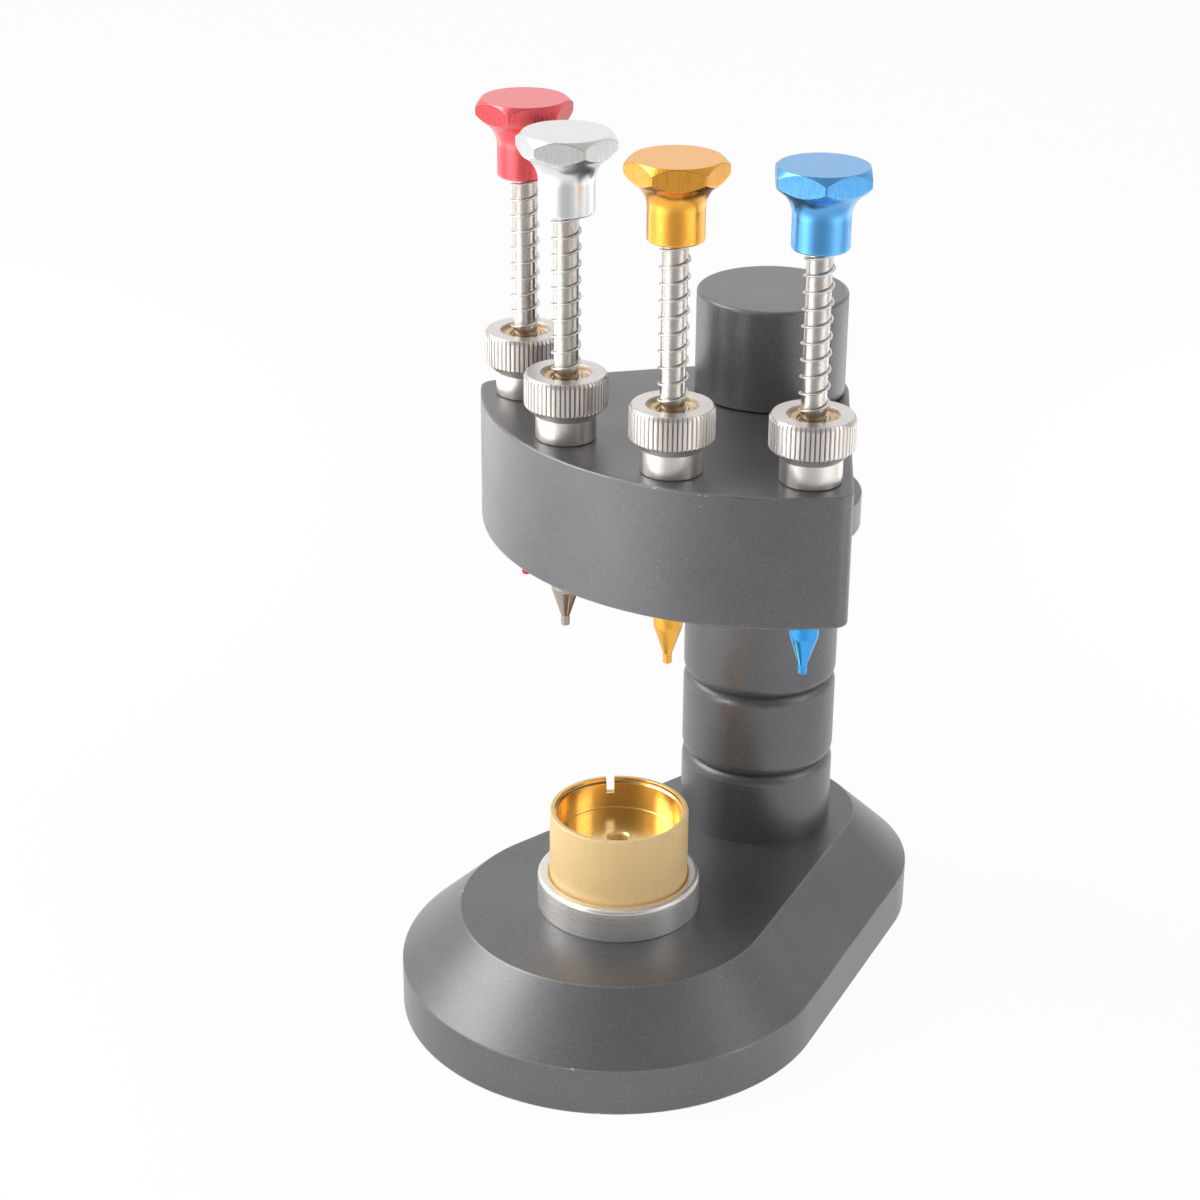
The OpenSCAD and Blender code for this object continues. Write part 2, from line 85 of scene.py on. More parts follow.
# Places from the frame
BASE_LOW, BASE_HIGH = node_box("base")
COLUMN_AT, COLUMN_R, COLUMN_LOW, COLUMN_HIGH = node_axis("column")
PLATE_AT, PLATE_R, PLATE_LOW, PLATE_HIGH = node_axis("index_plate")
CAP_AT, CAP_R, CAP_LOW, CAP_HIGH = node_axis("cap")
RING_AT, RING_R, RING_LOW, RING_HIGH = node_axis("seat_ring")
CUP_AT, CUP_R, CUP_LOW, CUP_HIGH = node_axis("movement_cup")
CUP_AXIS = (CUP_AT[0] * MM, CUP_AT[1] * MM, 0)
HEAD_LOW, HEAD_HIGH = (corner[2] for corner in node_box("head"))
ROD_AT = {tone: node_axis("rod_" + tone)[0] for tone in TONES}
REST_TURN = math.radians(-3.3)

# Brightness of the light tent in reflections, and of its fill light
TENT_BRIGHT = 0.92
TENT_DIM = 0.5
TENT_DARK = 0.2
TENT_FILL = 0.35

# Floor, in metres: half its width, and the painted shadow that reflections see on the camera's side: how
# dark it is and where it lies
FLOOR_HALF = 4.0
FLOOR_PAINTED_SHADOW = 0.7
FLOOR_PAINTED_SHADOW_AT = (0.25, -0.42, 0.0)

# Camera that was fitted to the photograph: turn, pitch and roll in degrees, the rest in millimetres
CAMERA_TURNS = (37.031, 24.681, 0.484)
CAMERA_AIM = (-5.24, -20.67, 91.69)
CAMERA_AWAY = 550.51
CAMERA_LENS = 80.98
CAMERA_SENSOR = 36.0

# Meshes: columns round turned pieces, points on the base's lobes, and widths of the flat strips beside
# the rounded edges
LARGE = 160
SMALL = 64
HOLE_COLUMNS = 48
RING_COLUMNS = 192
CUP_COLUMNS = 220
NOTCH_COLUMNS = 6
LOBE_POINTS = 96
HOLD = 0.3
LIP = 3.0
LOW_LIP = 1.5

# Base
BASE_H = BASE_HIGH[2]
SIDE_H = 10.6
BEVEL_IN = 12.4
FRONT_LOBE_R = (BASE_HIGH[0] - BASE_LOW[0]) / 2
REAR_LOBE_R = 34.0
FRONT_LOBE_Y = BASE_LOW[1] + FRONT_LOBE_R
REAR_LOBE_Y = BASE_HIGH[1] - REAR_LOBE_R
COLUMN_SCREW = (6.8, 9.0)
RING_SCREW = (3.8, 12.0)

# Column
GROOVE_HEIGHTS = (16.4, 35.6)
GROOVE_DEPTH = 1.3
GROOVE_ROUND = 2.6

# Head
HEAD_R = 61.15
HEAD_SIDE = math.radians(36.75)
HEAD_CORNER_R = 3.5
POCKET_R = PLATE_R + 0.4
POCKET_TOP = PLATE_HIGH + 0.2
POCKET_GAP = 0.15
TIP_ROOM_R = 4.4
TIP_ROOM_TOP = HEAD_LOW + 10.6

# Cup and ring
WELL_R = 13.05
WELL_FLOOR = CUP_HIGH - 7.0
LOW_WELL_R = 11.65
LOW_WELL_TOP = CUP_LOW + 5.5
STEP_IN = 0.45
STEP_LOW = CUP_HIGH - 1.1
STEP_HIGH = CUP_HIGH - 0.75
HOLE_R = 2.1
HOLE_BEVEL = 0.45
NOTCH_TURN = math.radians(135)
NOTCH_W = 1.9
NOTCH_FLOOR = CUP_HIGH - 3.5
RING_STEM_R = 8.0
RING_FLOOR = BASE_H + 3.0
POCKET_RIM = 0.5
CUP_PLAY = 0.08

# Knobs: KNOB_CORNERS is the direction of one corner in degrees, KNOB_LEDGE how far each chamfer starts
# inside the flats
KNOB_LOW, KNOB_HIGH = (corner[2] for corner in node_box("knob_gold"))
KNOB_FLAT = 8.8
KNOB_CORNERS = dict(zip(TONES, (20, 58, 8, 36)))
KNOB_CORNER_R = 0.5
KNOB_LEDGE = 0.15
SHANK_R = 5.6
SHANK_EDGE = 0.45
FLARE_LOW = 6.3
HEX_LOW = 11.6
HEX_DROP = 1.35

# Collars and bushes
COLLAR_HIGH = node_box("collar_gold")[1][2]
COLLAR_R = 8.5
COLLAR_FOOT_R = 6.2
COLLAR_BORE_R = 4.6
FOOT_BEVEL = 0.25
FOOT_BAND = 5.0
KNURL_LOW = 7.2
RIDGE_COLUMNS = 8
GROOVE_START = 0.25
GROOVE_POWER = 0.8
KNURL_BEVEL_IN = 0.5
KNURL_BEVEL_H = 0.8
RECESS_R = 5.2
RECESS_DEPTH = 0.7
RECESS_FOOT = RECESS_DEPTH + 0.5
BUSH_R = 4.65
BUSH_BORE_R = 3.1
BUSH_LENGTH = 6.0

# Springs
SPRING_LOW, SPRING_HIGH = (corner[2] for corner in node_box("return_spring_gold"))
SPRING_R = 2.87
SPRING_SUNK = 1.2
DETENT_COIL_R = 1.3
DETENT_TURNS = 5
DETENT_WIRE = 0.5

# Rods and tips
ROD_R = 2.5
ROD_FOOT_R = 1.7
CLIP_GROOVE_R = 2.2
NIB_LOW, TIP_TOP = (corner[2] for corner in node_box("tip_gold"))
TIP_R = 2.95
TIP_BORE_R = 1.72
TIP_BORE_LOW = TIP_TOP - 3.0
NIB_R = 0.9
NIB_TOP = NIB_LOW + 2.1
CONE_R = TIP_R - 0.1
CONE_TOP = NIB_TOP + 6.0
SHOULDER_TOP = CONE_TOP + 0.5


# Shapes


def placed(points):
    """Points of the head's own plan, turned by its turn at rest and moved to the column's axis."""
    c, s = math.cos(REST_TURN), math.sin(REST_TURN)
    return points @ np.array([[c, s], [-s, c]]) + COLUMN_AT


def arc(centre, radius, start, end, count):
    """Points on a circle: its centre plus the radius times cosine and sine of evenly spaced angles."""
    t = np.linspace(start, end, count)
    return np.asarray(centre) + radius * np.stack([np.cos(t), np.sin(t)], -1)


def around(columns):
    """Evenly spaced angles on a full turn."""
    return np.linspace(0, 2 * np.pi, columns, endpoint=False)


def varied(line, t):
    """A profile for each column: its radii and heights are numbers, or arrays over the angles t."""
    return np.stack([np.stack([r + 0 * t, z + 0 * t], -1) for r, z in line], 1)


def rounded(corners, radii, steps=4, hold=0.12):
    """Joins corners by straight lines and rounds each corner that has a radius.

    A corner's arc touches both of its lines, at the radius over the tangent of half the corner's angle
    from the corner, and at most 0.45 of the shorter line. One extra point on each side, a hold away,
    keeps the flats' shading flat.
    Corners may be one outline, (m, 2), or one for each column of a grid, (columns, m, 2).
    Returns the points, (..., k, 2), and for each point 1 on a rounded edge and 0 elsewhere.
    """
    corners = np.asarray(corners, float)
    points, edge = [corners[..., 0, :]], [0.0]
    for i in range(1, corners.shape[-2] - 1):
        here = corners[..., i, :]
        if not radii[i]:
            points.append(here)
            edge.append(0.0)
            continue
        back, on = corners[..., i - 1, :] - here, corners[..., i + 1, :] - here
        back_len = np.linalg.norm(back, axis=-1, keepdims=True)
        on_len = np.linalg.norm(on, axis=-1, keepdims=True)
        back, on = back / back_len, on / on_len
        angle = np.arccos(np.clip(np.sum(back * on, -1, keepdims=True), -1, 1))
        reach = np.minimum(radii[i] / np.tan(angle / 2), 0.45 * np.minimum(back_len, on_len))
        inwards = (back + on) / np.linalg.norm(back + on, axis=-1, keepdims=True)
        middle = here + inwards * reach / np.cos(angle / 2)
        first, last = here + back * reach - middle, here + on * reach - middle
        sweep = np.pi - angle
        points.append(here + back * (reach + np.minimum(hold, 0.2 * back_len)))
        for s in np.linspace(0, 1, steps + 1):
            along = np.sin((1 - s) * sweep) * first + np.sin(s * sweep) * last
            points.append(middle + along / np.sin(sweep))
        points.append(here + on * (reach + np.minimum(hold, 0.2 * on_len)))
        edge += [0.0] + [1.0] * (steps + 1) + [0.0]
    points.append(corners[..., -1, :])
    edge.append(0.0)
    return np.stack(points, -2), np.array(edge)


class Skin:
    """Collects grids and flat plates of one piece, and makes them one closed mesh. Each point has two
    marks for the materials: edge is 1 on a rounded edge, and inside says where a finish changes, and on
    the collars how deep the painted shade in the knurl's grooves is."""

    def __init__(self):
        self.points, self.faces, self.edge, self.inside = [], [], [], []

    def add(self, points, edge, inside):
        """Keeps points with their edge and inside marks, and returns the first one's number."""
        start = sum(len(block) for block in self.points)
        self.points.append(points.reshape(-1, 3))
        self.edge.append(np.broadcast_to(edge, points.shape[:-1]).reshape(-1))
        self.inside.append(np.broadcast_to(inside, points.shape[:-1]).reshape(-1))
        return start

    def grid(self, points, edge=0.0, inside=0.0, ring=False):
        """Quads between neighbouring points of a grid (rows, columns, 3) whose columns close on themselves.
        With ring, the rows close too."""
        rows, columns = points.shape[:2]
        start = self.add(points, edge, inside)
        here = np.arange(rows * columns).reshape(rows, columns) + start
        up = np.roll(here, -1, 0) if ring else here[1:]
        here = here if ring else here[:-1]
        quads = np.stack([here, np.roll(here, -1, 1), np.roll(up, -1, 1), up], -1)
        self.faces += quads.reshape(-1, 4).tolist()

    def plate(self, loops, height):
        """A flat face at one height: the first loop is its outline, the others are round holes. Triangles
        with all three corners on one hole's loop lie in the hole and are left out."""
        flat = np.concatenate(loops)
        loop_of = np.repeat(np.arange(len(loops)), [len(loop) for loop in loops])
        start = self.add(np.column_stack([flat, np.full(len(flat), height)]), 0.0, 0.0)
        ends = np.cumsum([len(loop) for loop in loops])
        rings = [list(range(end - len(loop), end)) for loop, end in zip(loops, ends)]
        found = delaunay_2d_cdt([Vector(point) for point in flat.tolist()], [], rings, 1, 1e-7)
        corners = np.array([olds[0] for olds in found[3]])[np.array(found[2])]
        of = loop_of[corners]
        in_hole = (of[:, 0] > 0) & (of[:, 0] == of[:, 1]) & (of[:, 0] == of[:, 2])
        self.faces += (corners[~in_hole] + start).tolist()

    def turned(self, profile, at, t, edge=0.0, inside=0.0, ring=False):
        """Carries a profile of radius and height round an upright axis: x and y are the radius times the
        cosine and sine of each column's angle t. The profile is (rows, 2), or (columns, rows, 2) where it
        differs from column to column."""
        profile = np.asarray(profile)
        profile = profile if profile.ndim == 3 else profile[None]
        r, z = profile[..., 0].T, profile[..., 1].T
        points = np.stack([at[0] + r * np.cos(t), at[1] + r * np.sin(t), z + 0 * t], -1)
        self.grid(points, np.reshape(edge, (-1, 1)), inside, ring)

    def hole(self, at, radius, mouth, end):
        """A blind round hole: its wall and its flat end. Returns the circle of its mouth, for a plate."""
        self.turned([(radius, mouth), (radius, end), (0, end)], at, around(HOLE_COLUMNS))
        return arc(at, radius, 0, 2 * np.pi, HOLE_COLUMNS + 1)[:-1]

    def piece(self, name, finish, body, slot, node, smooth=30.0):
        """Makes the mesh: doubles merged, faces turned outwards, edges over the smooth angle kept sharp."""
        mesh = bpy.data.meshes.new(name)
        mesh.from_pydata(np.concatenate(self.points) * MM, [], self.faces)
        for label, values in (("edge", self.edge), ("inside", self.inside)):
            layer = mesh.attributes.new(label, "FLOAT", "POINT")
            layer.data.foreach_set("value", np.concatenate(values).astype(np.float32))
        shell = bmesh.new()
        shell.from_mesh(mesh)
        bmesh.ops.remove_doubles(shell, verts=shell.verts, dist=2e-6)
        bmesh.ops.recalc_face_normals(shell, faces=shell.faces)
        shell.to_mesh(mesh)
        shell.free()
        mesh.polygons.foreach_set("use_smooth", np.ones(len(mesh.polygons), bool))
        mesh.set_sharp_from_angle(angle=math.radians(smooth))
        mesh.materials.append(FINISHES[finish])
        made = bpy.data.objects.new(name, mesh)
        bpy.context.scene.collection.objects.link(made)
        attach(made, body)
        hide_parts(node)
        return made


def turned_piece(names, at, columns, corners, radii, steps=4, hold=0.12, ring=False, smooth=30.0):
    """A piece turned about one upright axis, from the corners of its profile and their radii. Its names
    are those of the piece, its finish and body, a slot that is not used, and the CAD node that it
    stands for."""
    line, marks = rounded(corners, radii, steps, hold)
    skin = Skin()
    skin.turned(line, at, around(columns), marks, ring=ring)
    skin.piece(*names, smooth)


def lobes(inset):
    """Outline of the base: two circles and their common tangents.

    A point's normal angle t gives its place, the lobe's centre plus the lobe's radius along the normal.
    The rear lobe has the normals from the tangents' angle to its mirror image, the front lobe the rest.
    """
    start = math.asin((FRONT_LOBE_R - REAR_LOBE_R) / (REAR_LOBE_Y - FRONT_LOBE_Y))
    end = math.pi - start
    rear = arc((0, REAR_LOBE_Y), REAR_LOBE_R - inset, start, end, LOBE_POINTS)
    front = arc((0, FRONT_LOBE_Y), FRONT_LOBE_R - inset, end, start + 2 * math.pi, LOBE_POINTS)
    return np.concatenate([rear, front])


def head_paths(inset):
    """Two paths round the head in its own frame, column axis at the origin, front towards -Y.

    The first is the fan: from where the left side meets the pocket's circle, along the side, round the
    left corner, the front and the right corner, and back to the pocket's circle. The second is the hub:
    on along the right side, round the column's circle and back to the left side. Both lie inwards of the
    outline by the inset. The sides touch the hub's circle, and the corners touch a side and the front.
    Each path is worked out on the right and mirrored.
    """
    side_r = COLUMN_R - inset
    corner_off = COLUMN_R - HEAD_CORNER_R
    corner_along = math.sqrt((HEAD_R - HEAD_CORNER_R) ** 2 - corner_off ** 2)

    def place(along, off):
        return np.array([off * math.cos(HEAD_SIDE) + along * math.sin(HEAD_SIDE),
                         off * math.sin(HEAD_SIDE) - along * math.cos(HEAD_SIDE)])

    pocket = place(math.sqrt(POCKET_R ** 2 - side_r ** 2), side_r)
    corner = place(corner_along, corner_off)
    turn = math.atan2(corner[1], corner[0])
    fan = np.concatenate([
        arc((0, 0), HEAD_R - inset, -math.pi / 2, turn, 49)[:-1],
        arc(corner, HEAD_CORNER_R - inset, turn, HEAD_SIDE, 12),
        [place(corner_along - HOLD, side_r), pocket]])
    hub = np.concatenate([
        [pocket, place(HOLD, side_r)], arc((0, 0), side_r, HEAD_SIDE, math.pi - HEAD_SIDE, 48)[:24]])
    return np.concatenate([fan[:0:-1] * (-1, 1), fan]), np.concatenate([hub, hub[::-1] * (-1, 1)])


def carried(outlines, heights):
    """A profile carried along a path: one outline for each row of the profile, at the row's height."""
    return np.stack([np.column_stack([line, np.full(len(line), z)]) for line, z in zip(outlines, heights)])


def helix(radius, low, high, turns, wire, at, sides=10, rings=28):
    """A coil spring: a circle of the wire carried along a helix about an upright axis.

    The angle grows evenly. The height climbs by one wire thickness in the first and the last turn, and
    evenly between, so the end turns lie closed. The ring at each point lies across the path.
    """
    share = np.linspace(0, turns, int(turns * rings) + 1)
    rise = np.interp(share, [0, 1, turns - 1, turns], [0, wire, high - low - 2 * wire, high - low - wire])
    t = share * 2 * np.pi
    path = np.stack([radius * np.cos(t), radius * np.sin(t), low + wire / 2 + rise], -1)
    flow = np.gradient(path, axis=0)
    flow /= np.linalg.norm(flow, axis=1, keepdims=True)
    out = np.stack([np.cos(t), np.sin(t), 0 * t], -1)
    up = np.cross(flow, out)
    a = np.linspace(0, 2 * np.pi, sides, endpoint=False)
    ring = out[:, None] * np.cos(a)[:, None] + up[:, None] * np.sin(a)[:, None]
    tube = path[:, None] + wire / 2 * ring
    tube = np.concatenate([path[:1, None] + 0 * tube[:1], tube, path[-1:, None] + 0 * tube[-1:]])
    return tube + np.array([at[0], at[1], 0.0])


# Materials

GROUPS = {}
FINISHES = {}


def feed(node, inputs):
    """Feeds a shader node's inputs, each given by its name or place: by a link from another socket, or by
    a number, vector or colour as its value."""
    for key, value in inputs.items():
        socket = node.inputs[key]
        if isinstance(value, bpy.types.NodeSocket):
            node.id_data.links.new(value, socket)
        elif socket.type == "RGBA":
            socket.default_value = (*value[:3], 1.0)
        else:
            socket.default_value = value


def shader_node(beside, kind, inputs=None, **settings):
    """A new shader node with its settings and inputs, in a node tree or beside a node or socket in it."""
    node = beside.id_data.nodes.new("ShaderNode" + kind)
    for label, setting in settings.items():
        setattr(node, label, setting)
    feed(node, inputs or {})
    return node


def group(key, name, inputs, outputs):
    """An empty shader node group on a vector. Its further inputs are given with their defaults, and its
    outputs are numbers. Returns its inputs' sockets and its output node."""
    tree = GROUPS[key] = bpy.data.node_groups.new(name, "ShaderNodeTree")
    for label, value in {"Vector": (0, 0, 0), **inputs}.items():
        kind = "NodeSocketVector" if isinstance(value, tuple) else "NodeSocketFloat"
        tree.interface.new_socket(label, in_out="INPUT", socket_type=kind).default_value = value
    for label in outputs:
        tree.interface.new_socket(label, in_out="OUTPUT", socket_type="NodeSocketFloat")
    return tree.nodes.new("NodeGroupInput").outputs, tree.nodes.new("NodeGroupOutput")


def noise(vector, scale, detail=2.0, roughness=0.5):
    """Noise on a vector, its scale either a number or a socket."""
    inputs = {"Vector": vector, "Scale": scale, "Detail": detail, "Roughness": roughness}
    return shader_node(vector, "TexNoise", inputs).outputs["Fac"]


def remap(value, low, high, to_low=0.0, to_high=1.0, kind="SMOOTHSTEP"):
    """A value's range from low to high, brought to another range and held at its ends."""
    inputs = {0: value, 1: low, 2: high, 3: to_low, 4: to_high}
    return shader_node(value, "MapRange", inputs, interpolation_type=kind).outputs["Result"]


def maths(operation, first, second):
    """One Math node on a socket and another socket or a number."""
    return shader_node(first, "Math", {0: first, 1: second}, operation=operation).outputs[0]


def product(first, second):
    """A socket multiplied by another one or by a number."""
    return maths("MULTIPLY", first, second)


def vector_maths(operation, first, second=(0, 0, 0)):
    """One Vector Math node. A length, a distance and a dot product are numbers, all else is a vector."""
    node = shader_node(first, "VectorMath", {0: first, 1: second}, operation=operation)
    return node.outputs["Value" if operation in ("LENGTH", "DISTANCE", "DOT_PRODUCT") else "Vector"]


def mixed(factor, first, second):
    """A colour mix by a socket's factor. The colours are sockets or values."""
    return shader_node(factor, "Mix", {0: factor, 6: first, 7: second}, data_type="RGBA").outputs[2]


def times(colour, share):
    """A colour made paler or darker, held at 1."""
    return tuple(min(1.0, share * c) for c in colour)


def make_grain():
    """Blasted metal: a fine even grain for bump and roughness, and soft clouds for the colour."""
    given, out = group("grain", "Blasted grain", {"Grain Scale": 5000.0, "Cloud Scale": 60.0},
                       ("Grain", "Clouds"))
    grain = noise(given["Vector"], given["Grain Scale"], 2.0, 0.6)
    clouds = noise(given["Vector"], given["Cloud Scale"], 4.0, 0.55)
    feed(out, {"Grain": grain, "Clouds": remap(clouds, 0.3, 0.7)})


def make_wear():
    """Worn edges: chips where the edge attribute and a noise are both high, a thin rub along the whole
    edge, and rare round specks anywhere, each where the surface passes close by a scattered point."""
    given, out = group("wear", "Edge wear", {"Edge": 0.0, "Chips": 0.62, "Speck Scale": 350.0},
                       ("Chip", "Rub", "Speck"))
    where = noise(given["Vector"], 90.0, 2.0, 0.6)
    broken = noise(given["Vector"], 1500.0, 3.0, 0.7)
    both = maths("ADD", product(where, 0.6), product(broken, 0.4))
    chip = maths("GREATER_THAN", both, given["Chips"])
    edge = remap(given["Edge"], 0.5, 0.9)
    rub = product(edge, remap(where, 0.35, 0.65, 0.35, 1.0))
    dots = shader_node(where, "TexVoronoi", {"Vector": given["Vector"], "Scale": given["Speck Scale"]})
    speck = remap(dots.outputs["Distance"], 0.05, 0.02)
    feed(out, {"Chip": product(chip, edge), "Rub": rub, "Speck": speck})


def make_turning():
    """Turning marks about an upright axis: noise on the height and on the distance from the axis, so
    that sides carry level lines and faces carry circles."""
    given, out = group("turning", "Turning marks", {"Axis": (0, 0, 0), "Scale": 3000.0},
                       ("Lines", "Bands"))
    off = vector_maths("SUBTRACT", given["Vector"], given["Axis"])
    away = vector_maths("LENGTH", vector_maths("MULTIPLY", off, (1, 1, 0)))
    height = shader_node(off, "SeparateXYZ", {0: given["Vector"]}).outputs[2]
    joined = shader_node(away, "CombineXYZ", {0: away, 1: height}).outputs[0]
    wide = product(given["Scale"], 0.12)
    feed(out, {"Lines": noise(joined, given["Scale"], 3.0, 0.6),
                     "Bands": noise(joined, wide)})


def make_milling():
    """Milling marks on upright faces: noise that is drawn out along the height. They fade on level faces,
    by the share that the true normal has across the height."""
    given, out = group("milling", "Milling marks", {"Scale": 2500.0}, ("Lines", "Broken"))
    long = vector_maths("MULTIPLY", given["Vector"], (1, 1, 0.04))
    short = vector_maths("MULTIPLY", given["Vector"], (1, 1, 0.25))
    facing = shader_node(out, "NewGeometry").outputs["True Normal"]
    upright = vector_maths("LENGTH", vector_maths("MULTIPLY", facing, (1, 1, 0)))
    lines = maths("SUBTRACT", noise(long, given["Scale"], 3.0, 0.65), 0.5)
    lines = product(lines, remap(upright, 0.3, 0.8))
    feed(out, {"Lines": maths("ADD", lines, 0.5),
                     "Broken": noise(short, given["Scale"], 3.0, 0.7)})


class Finish:
    """A material with one Principled shader, and the parts that its effects hang on."""

    def __init__(self, name, colour, roughness, metallic=1.0, coat=0.0, coat_roughness=0.03):
        self.material = bpy.data.materials.new(name)
        self.material.use_nodes = True
        self.tree = self.material.node_tree
        self.place = shader_node(self.tree, "TexCoord").outputs["Object"]
        self.surface({"Base Color": colour, "Roughness": roughness, "Metallic": metallic,
                      "Coat Weight": coat, "Coat Roughness": coat_roughness})

    def surface(self, inputs):
        """Feeds the Principled shader."""
        feed(self.tree.nodes["Principled BSDF"], inputs)

    def effect(self, name, **values):
        """Places a shared effect group and feeds its inputs."""
        inputs = {label.replace("_", " "): value for label, value in values.items()}
        inputs["Vector"] = self.place
        return shader_node(self.tree, "Group", inputs, node_tree=GROUPS[name]).outputs

    def attribute(self, name):
        """A value that is stored at the mesh's points."""
        return shader_node(self.tree, "Attribute", attribute_name=name).outputs["Fac"]

    def bump(self, height, distance, strength):
        """Bends the shading's normal by a height that stands for a distance in metres."""
        inputs = {"Height": height, "Distance": distance, "Strength": strength}
        self.surface({"Normal": shader_node(self.tree, "Bump", inputs).outputs["Normal"]})


def dark_body(colour):
    """Blasted and anodised aluminium: fine grain, soft clouds, paler edges, and chips down to metal."""
    made = Finish("Blasted dark aluminium", colour, 0.38, 0.6, 0.5, 0.32)
    grain = made.effect("grain", Grain_Scale=2600.0, Cloud_Scale=45.0)
    wear = made.effect("wear", Edge=made.attribute("edge"), Chips=0.64, Speck_Scale=330.0)
    shade = mixed(grain["Clouds"], times(colour, 0.93), times(colour, 1.07))
    shade = mixed(remap(grain["Grain"], 0.4, 0.75, 0.0, 0.5), shade, times(colour, 1.7))
    shade = mixed(product(wear["Rub"], 0.35), shade, (0.34, 0.35, 0.36))
    bare = maths("MAXIMUM", wear["Chip"], product(wear["Speck"], 0.55))
    made.surface({"Base Color": mixed(bare, shade, (0.8, 0.79, 0.78)),
                  "Roughness": remap(grain["Grain"], 0.3, 0.7, 0.34, 0.43)})
    made.bump(grain["Grain"], 0.00004, 0.5)
    return made.material


def turned_metal(name, colour, dark, roughness, axis=(0, 0, 0), scale=3000.0, bump=0.00001, metallic=1.0,
                 streak=0.35):
    """Turned metal: fine level lines in the roughness, the colour and the bump."""
    made = Finish(name, colour, roughness, metallic)
    marks = made.effect("turning", Axis=axis, Scale=scale)
    shade = mixed(remap(marks["Bands"], 0.35, 0.65), dark, colour)
    shade = mixed(remap(marks["Lines"], 0.35, 0.75, 0.0, streak), shade, times(dark, 0.7))
    rough = remap(marks["Lines"], 0.3, 0.7, 0.75 * roughness, 1.3 * roughness)
    made.surface({"Base Color": shade, "Roughness": rough})
    made.bump(marks["Lines"], bump, 0.6)
    return made.material


def knob_metal(tone, colour):
    """Anodised aluminium under its clear oxide skin, with rubbed edges. Only the hexagon, where the
    attribute "inside" is 1, has upright milling marks. The shank is smooth."""
    made = Finish("Anodised " + tone, colour, 0.24, coat=0.35, coat_roughness=0.12)
    marks = made.effect("milling", Scale=2600.0)
    wear = made.effect("wear", Edge=made.attribute("edge"))
    lines = maths("SUBTRACT", marks["Lines"], 0.5)
    lines = product(lines, made.attribute("inside"))
    rubbed = tuple(min(1.0, 1.25 * c + 0.1) for c in colour)
    shade = mixed(remap(lines, 0.0, 0.2), colour, times(colour, 0.86))
    made.surface({"Base Color": mixed(product(wear["Rub"], 0.25), shade, rubbed),
                  "Roughness": remap(lines, -0.15, 0.15, 0.19, 0.31)})
    made.bump(lines, 0.00001, 0.4)
    return made.material


def collar_metal():
    """Satin nickel: a fine even sheen with faint upright marks. It has painted shade where the attribute
    "inside", the depth of the knurl's grooves, is high."""
    made = Finish("Satin nickel", (0.86, 0.82, 0.78), 0.3, 0.9)
    marks = made.effect("milling", Scale=1700.0)
    grain = made.effect("grain", Grain_Scale=6000.0, Cloud_Scale=150.0)
    # Painted shade: the deeper a knurl groove, the more its colour is darkened towards dark brown
    groove = remap(made.attribute("inside"), 0.4, 0.95, 0.0, 0.7)
    shade = mixed(grain["Clouds"], (0.78, 0.74, 0.7), (0.83, 0.79, 0.75))
    shade = mixed(remap(marks["Broken"], 0.55, 0.8, 0.0, 0.15), shade, (0.5, 0.47, 0.44))
    made.surface({"Base Color": mixed(groove, shade, (0.26, 0.23, 0.2)),
                  "Roughness": remap(grain["Grain"], 0.3, 0.7, 0.28, 0.36)})
    made.bump(grain["Grain"], 0.000003, 0.5)
    return made.material


def cup_brass(colour):
    """Brass. Its outside is matt, with faint upright streaks, dark specks and rubbed edges. Its inside,
    where the attribute "inside" is 1, is smooth and golden, with faint turned lines in the colour."""
    made = Finish("Turned brass", colour, 0.3)
    marks = made.effect("milling", Scale=1300.0)
    turning = made.effect("turning", Axis=CUP_AXIS, Scale=2600.0)
    wear = made.effect("wear", Edge=made.attribute("edge"), Speck_Scale=420.0)
    inside = made.attribute("inside")
    darker = tuple(c * k for c, k in zip(colour, (0.94, 0.88, 0.78)))
    outer = mixed(remap(marks["Lines"], 0.4, 0.8, 0.0, 0.6), colour, darker)
    outer = mixed(product(wear["Speck"], 0.85), outer, (0.2, 0.12, 0.05))
    outer = mixed(product(wear["Rub"], 0.5), outer, (0.95, 0.78, 0.52))
    inner = mixed(remap(turning["Lines"], 0.3, 0.7), (1.0, 0.72, 0.32), (0.94, 0.62, 0.23))
    rough = remap(marks["Broken"], 0.3, 0.7, 0.38, 0.48)
    made.surface({"Base Color": mixed(inside, outer, inner),
                  "Roughness": remap(inside, 0.0, 1.0, rough, 0.22, "LINEAR"),
                  "Metallic": remap(inside, 0.0, 1.0, 0.12, 1.0, "LINEAR")})
    outside = remap(inside, 0.0, 1.0, 1.0, 0.0, "LINEAR")
    made.bump(product(marks["Broken"], outside), 0.000006, 0.5)
    return made.material


def tip_skin(tone, colour):
    """Tinted and glossy, with faint wide clouds in the colour and the gloss."""
    made = Finish("Tinted tip " + tone, colour, 0.18, 0.85)
    grain = made.effect("grain", Grain_Scale=400.0, Cloud_Scale=200.0)
    made.surface({"Base Color": mixed(grain["Clouds"], times(colour, 0.97), times(colour, 1.03)),
                  "Roughness": remap(grain["Grain"], 0.3, 0.7, 0.16, 0.2)})
    return made.material


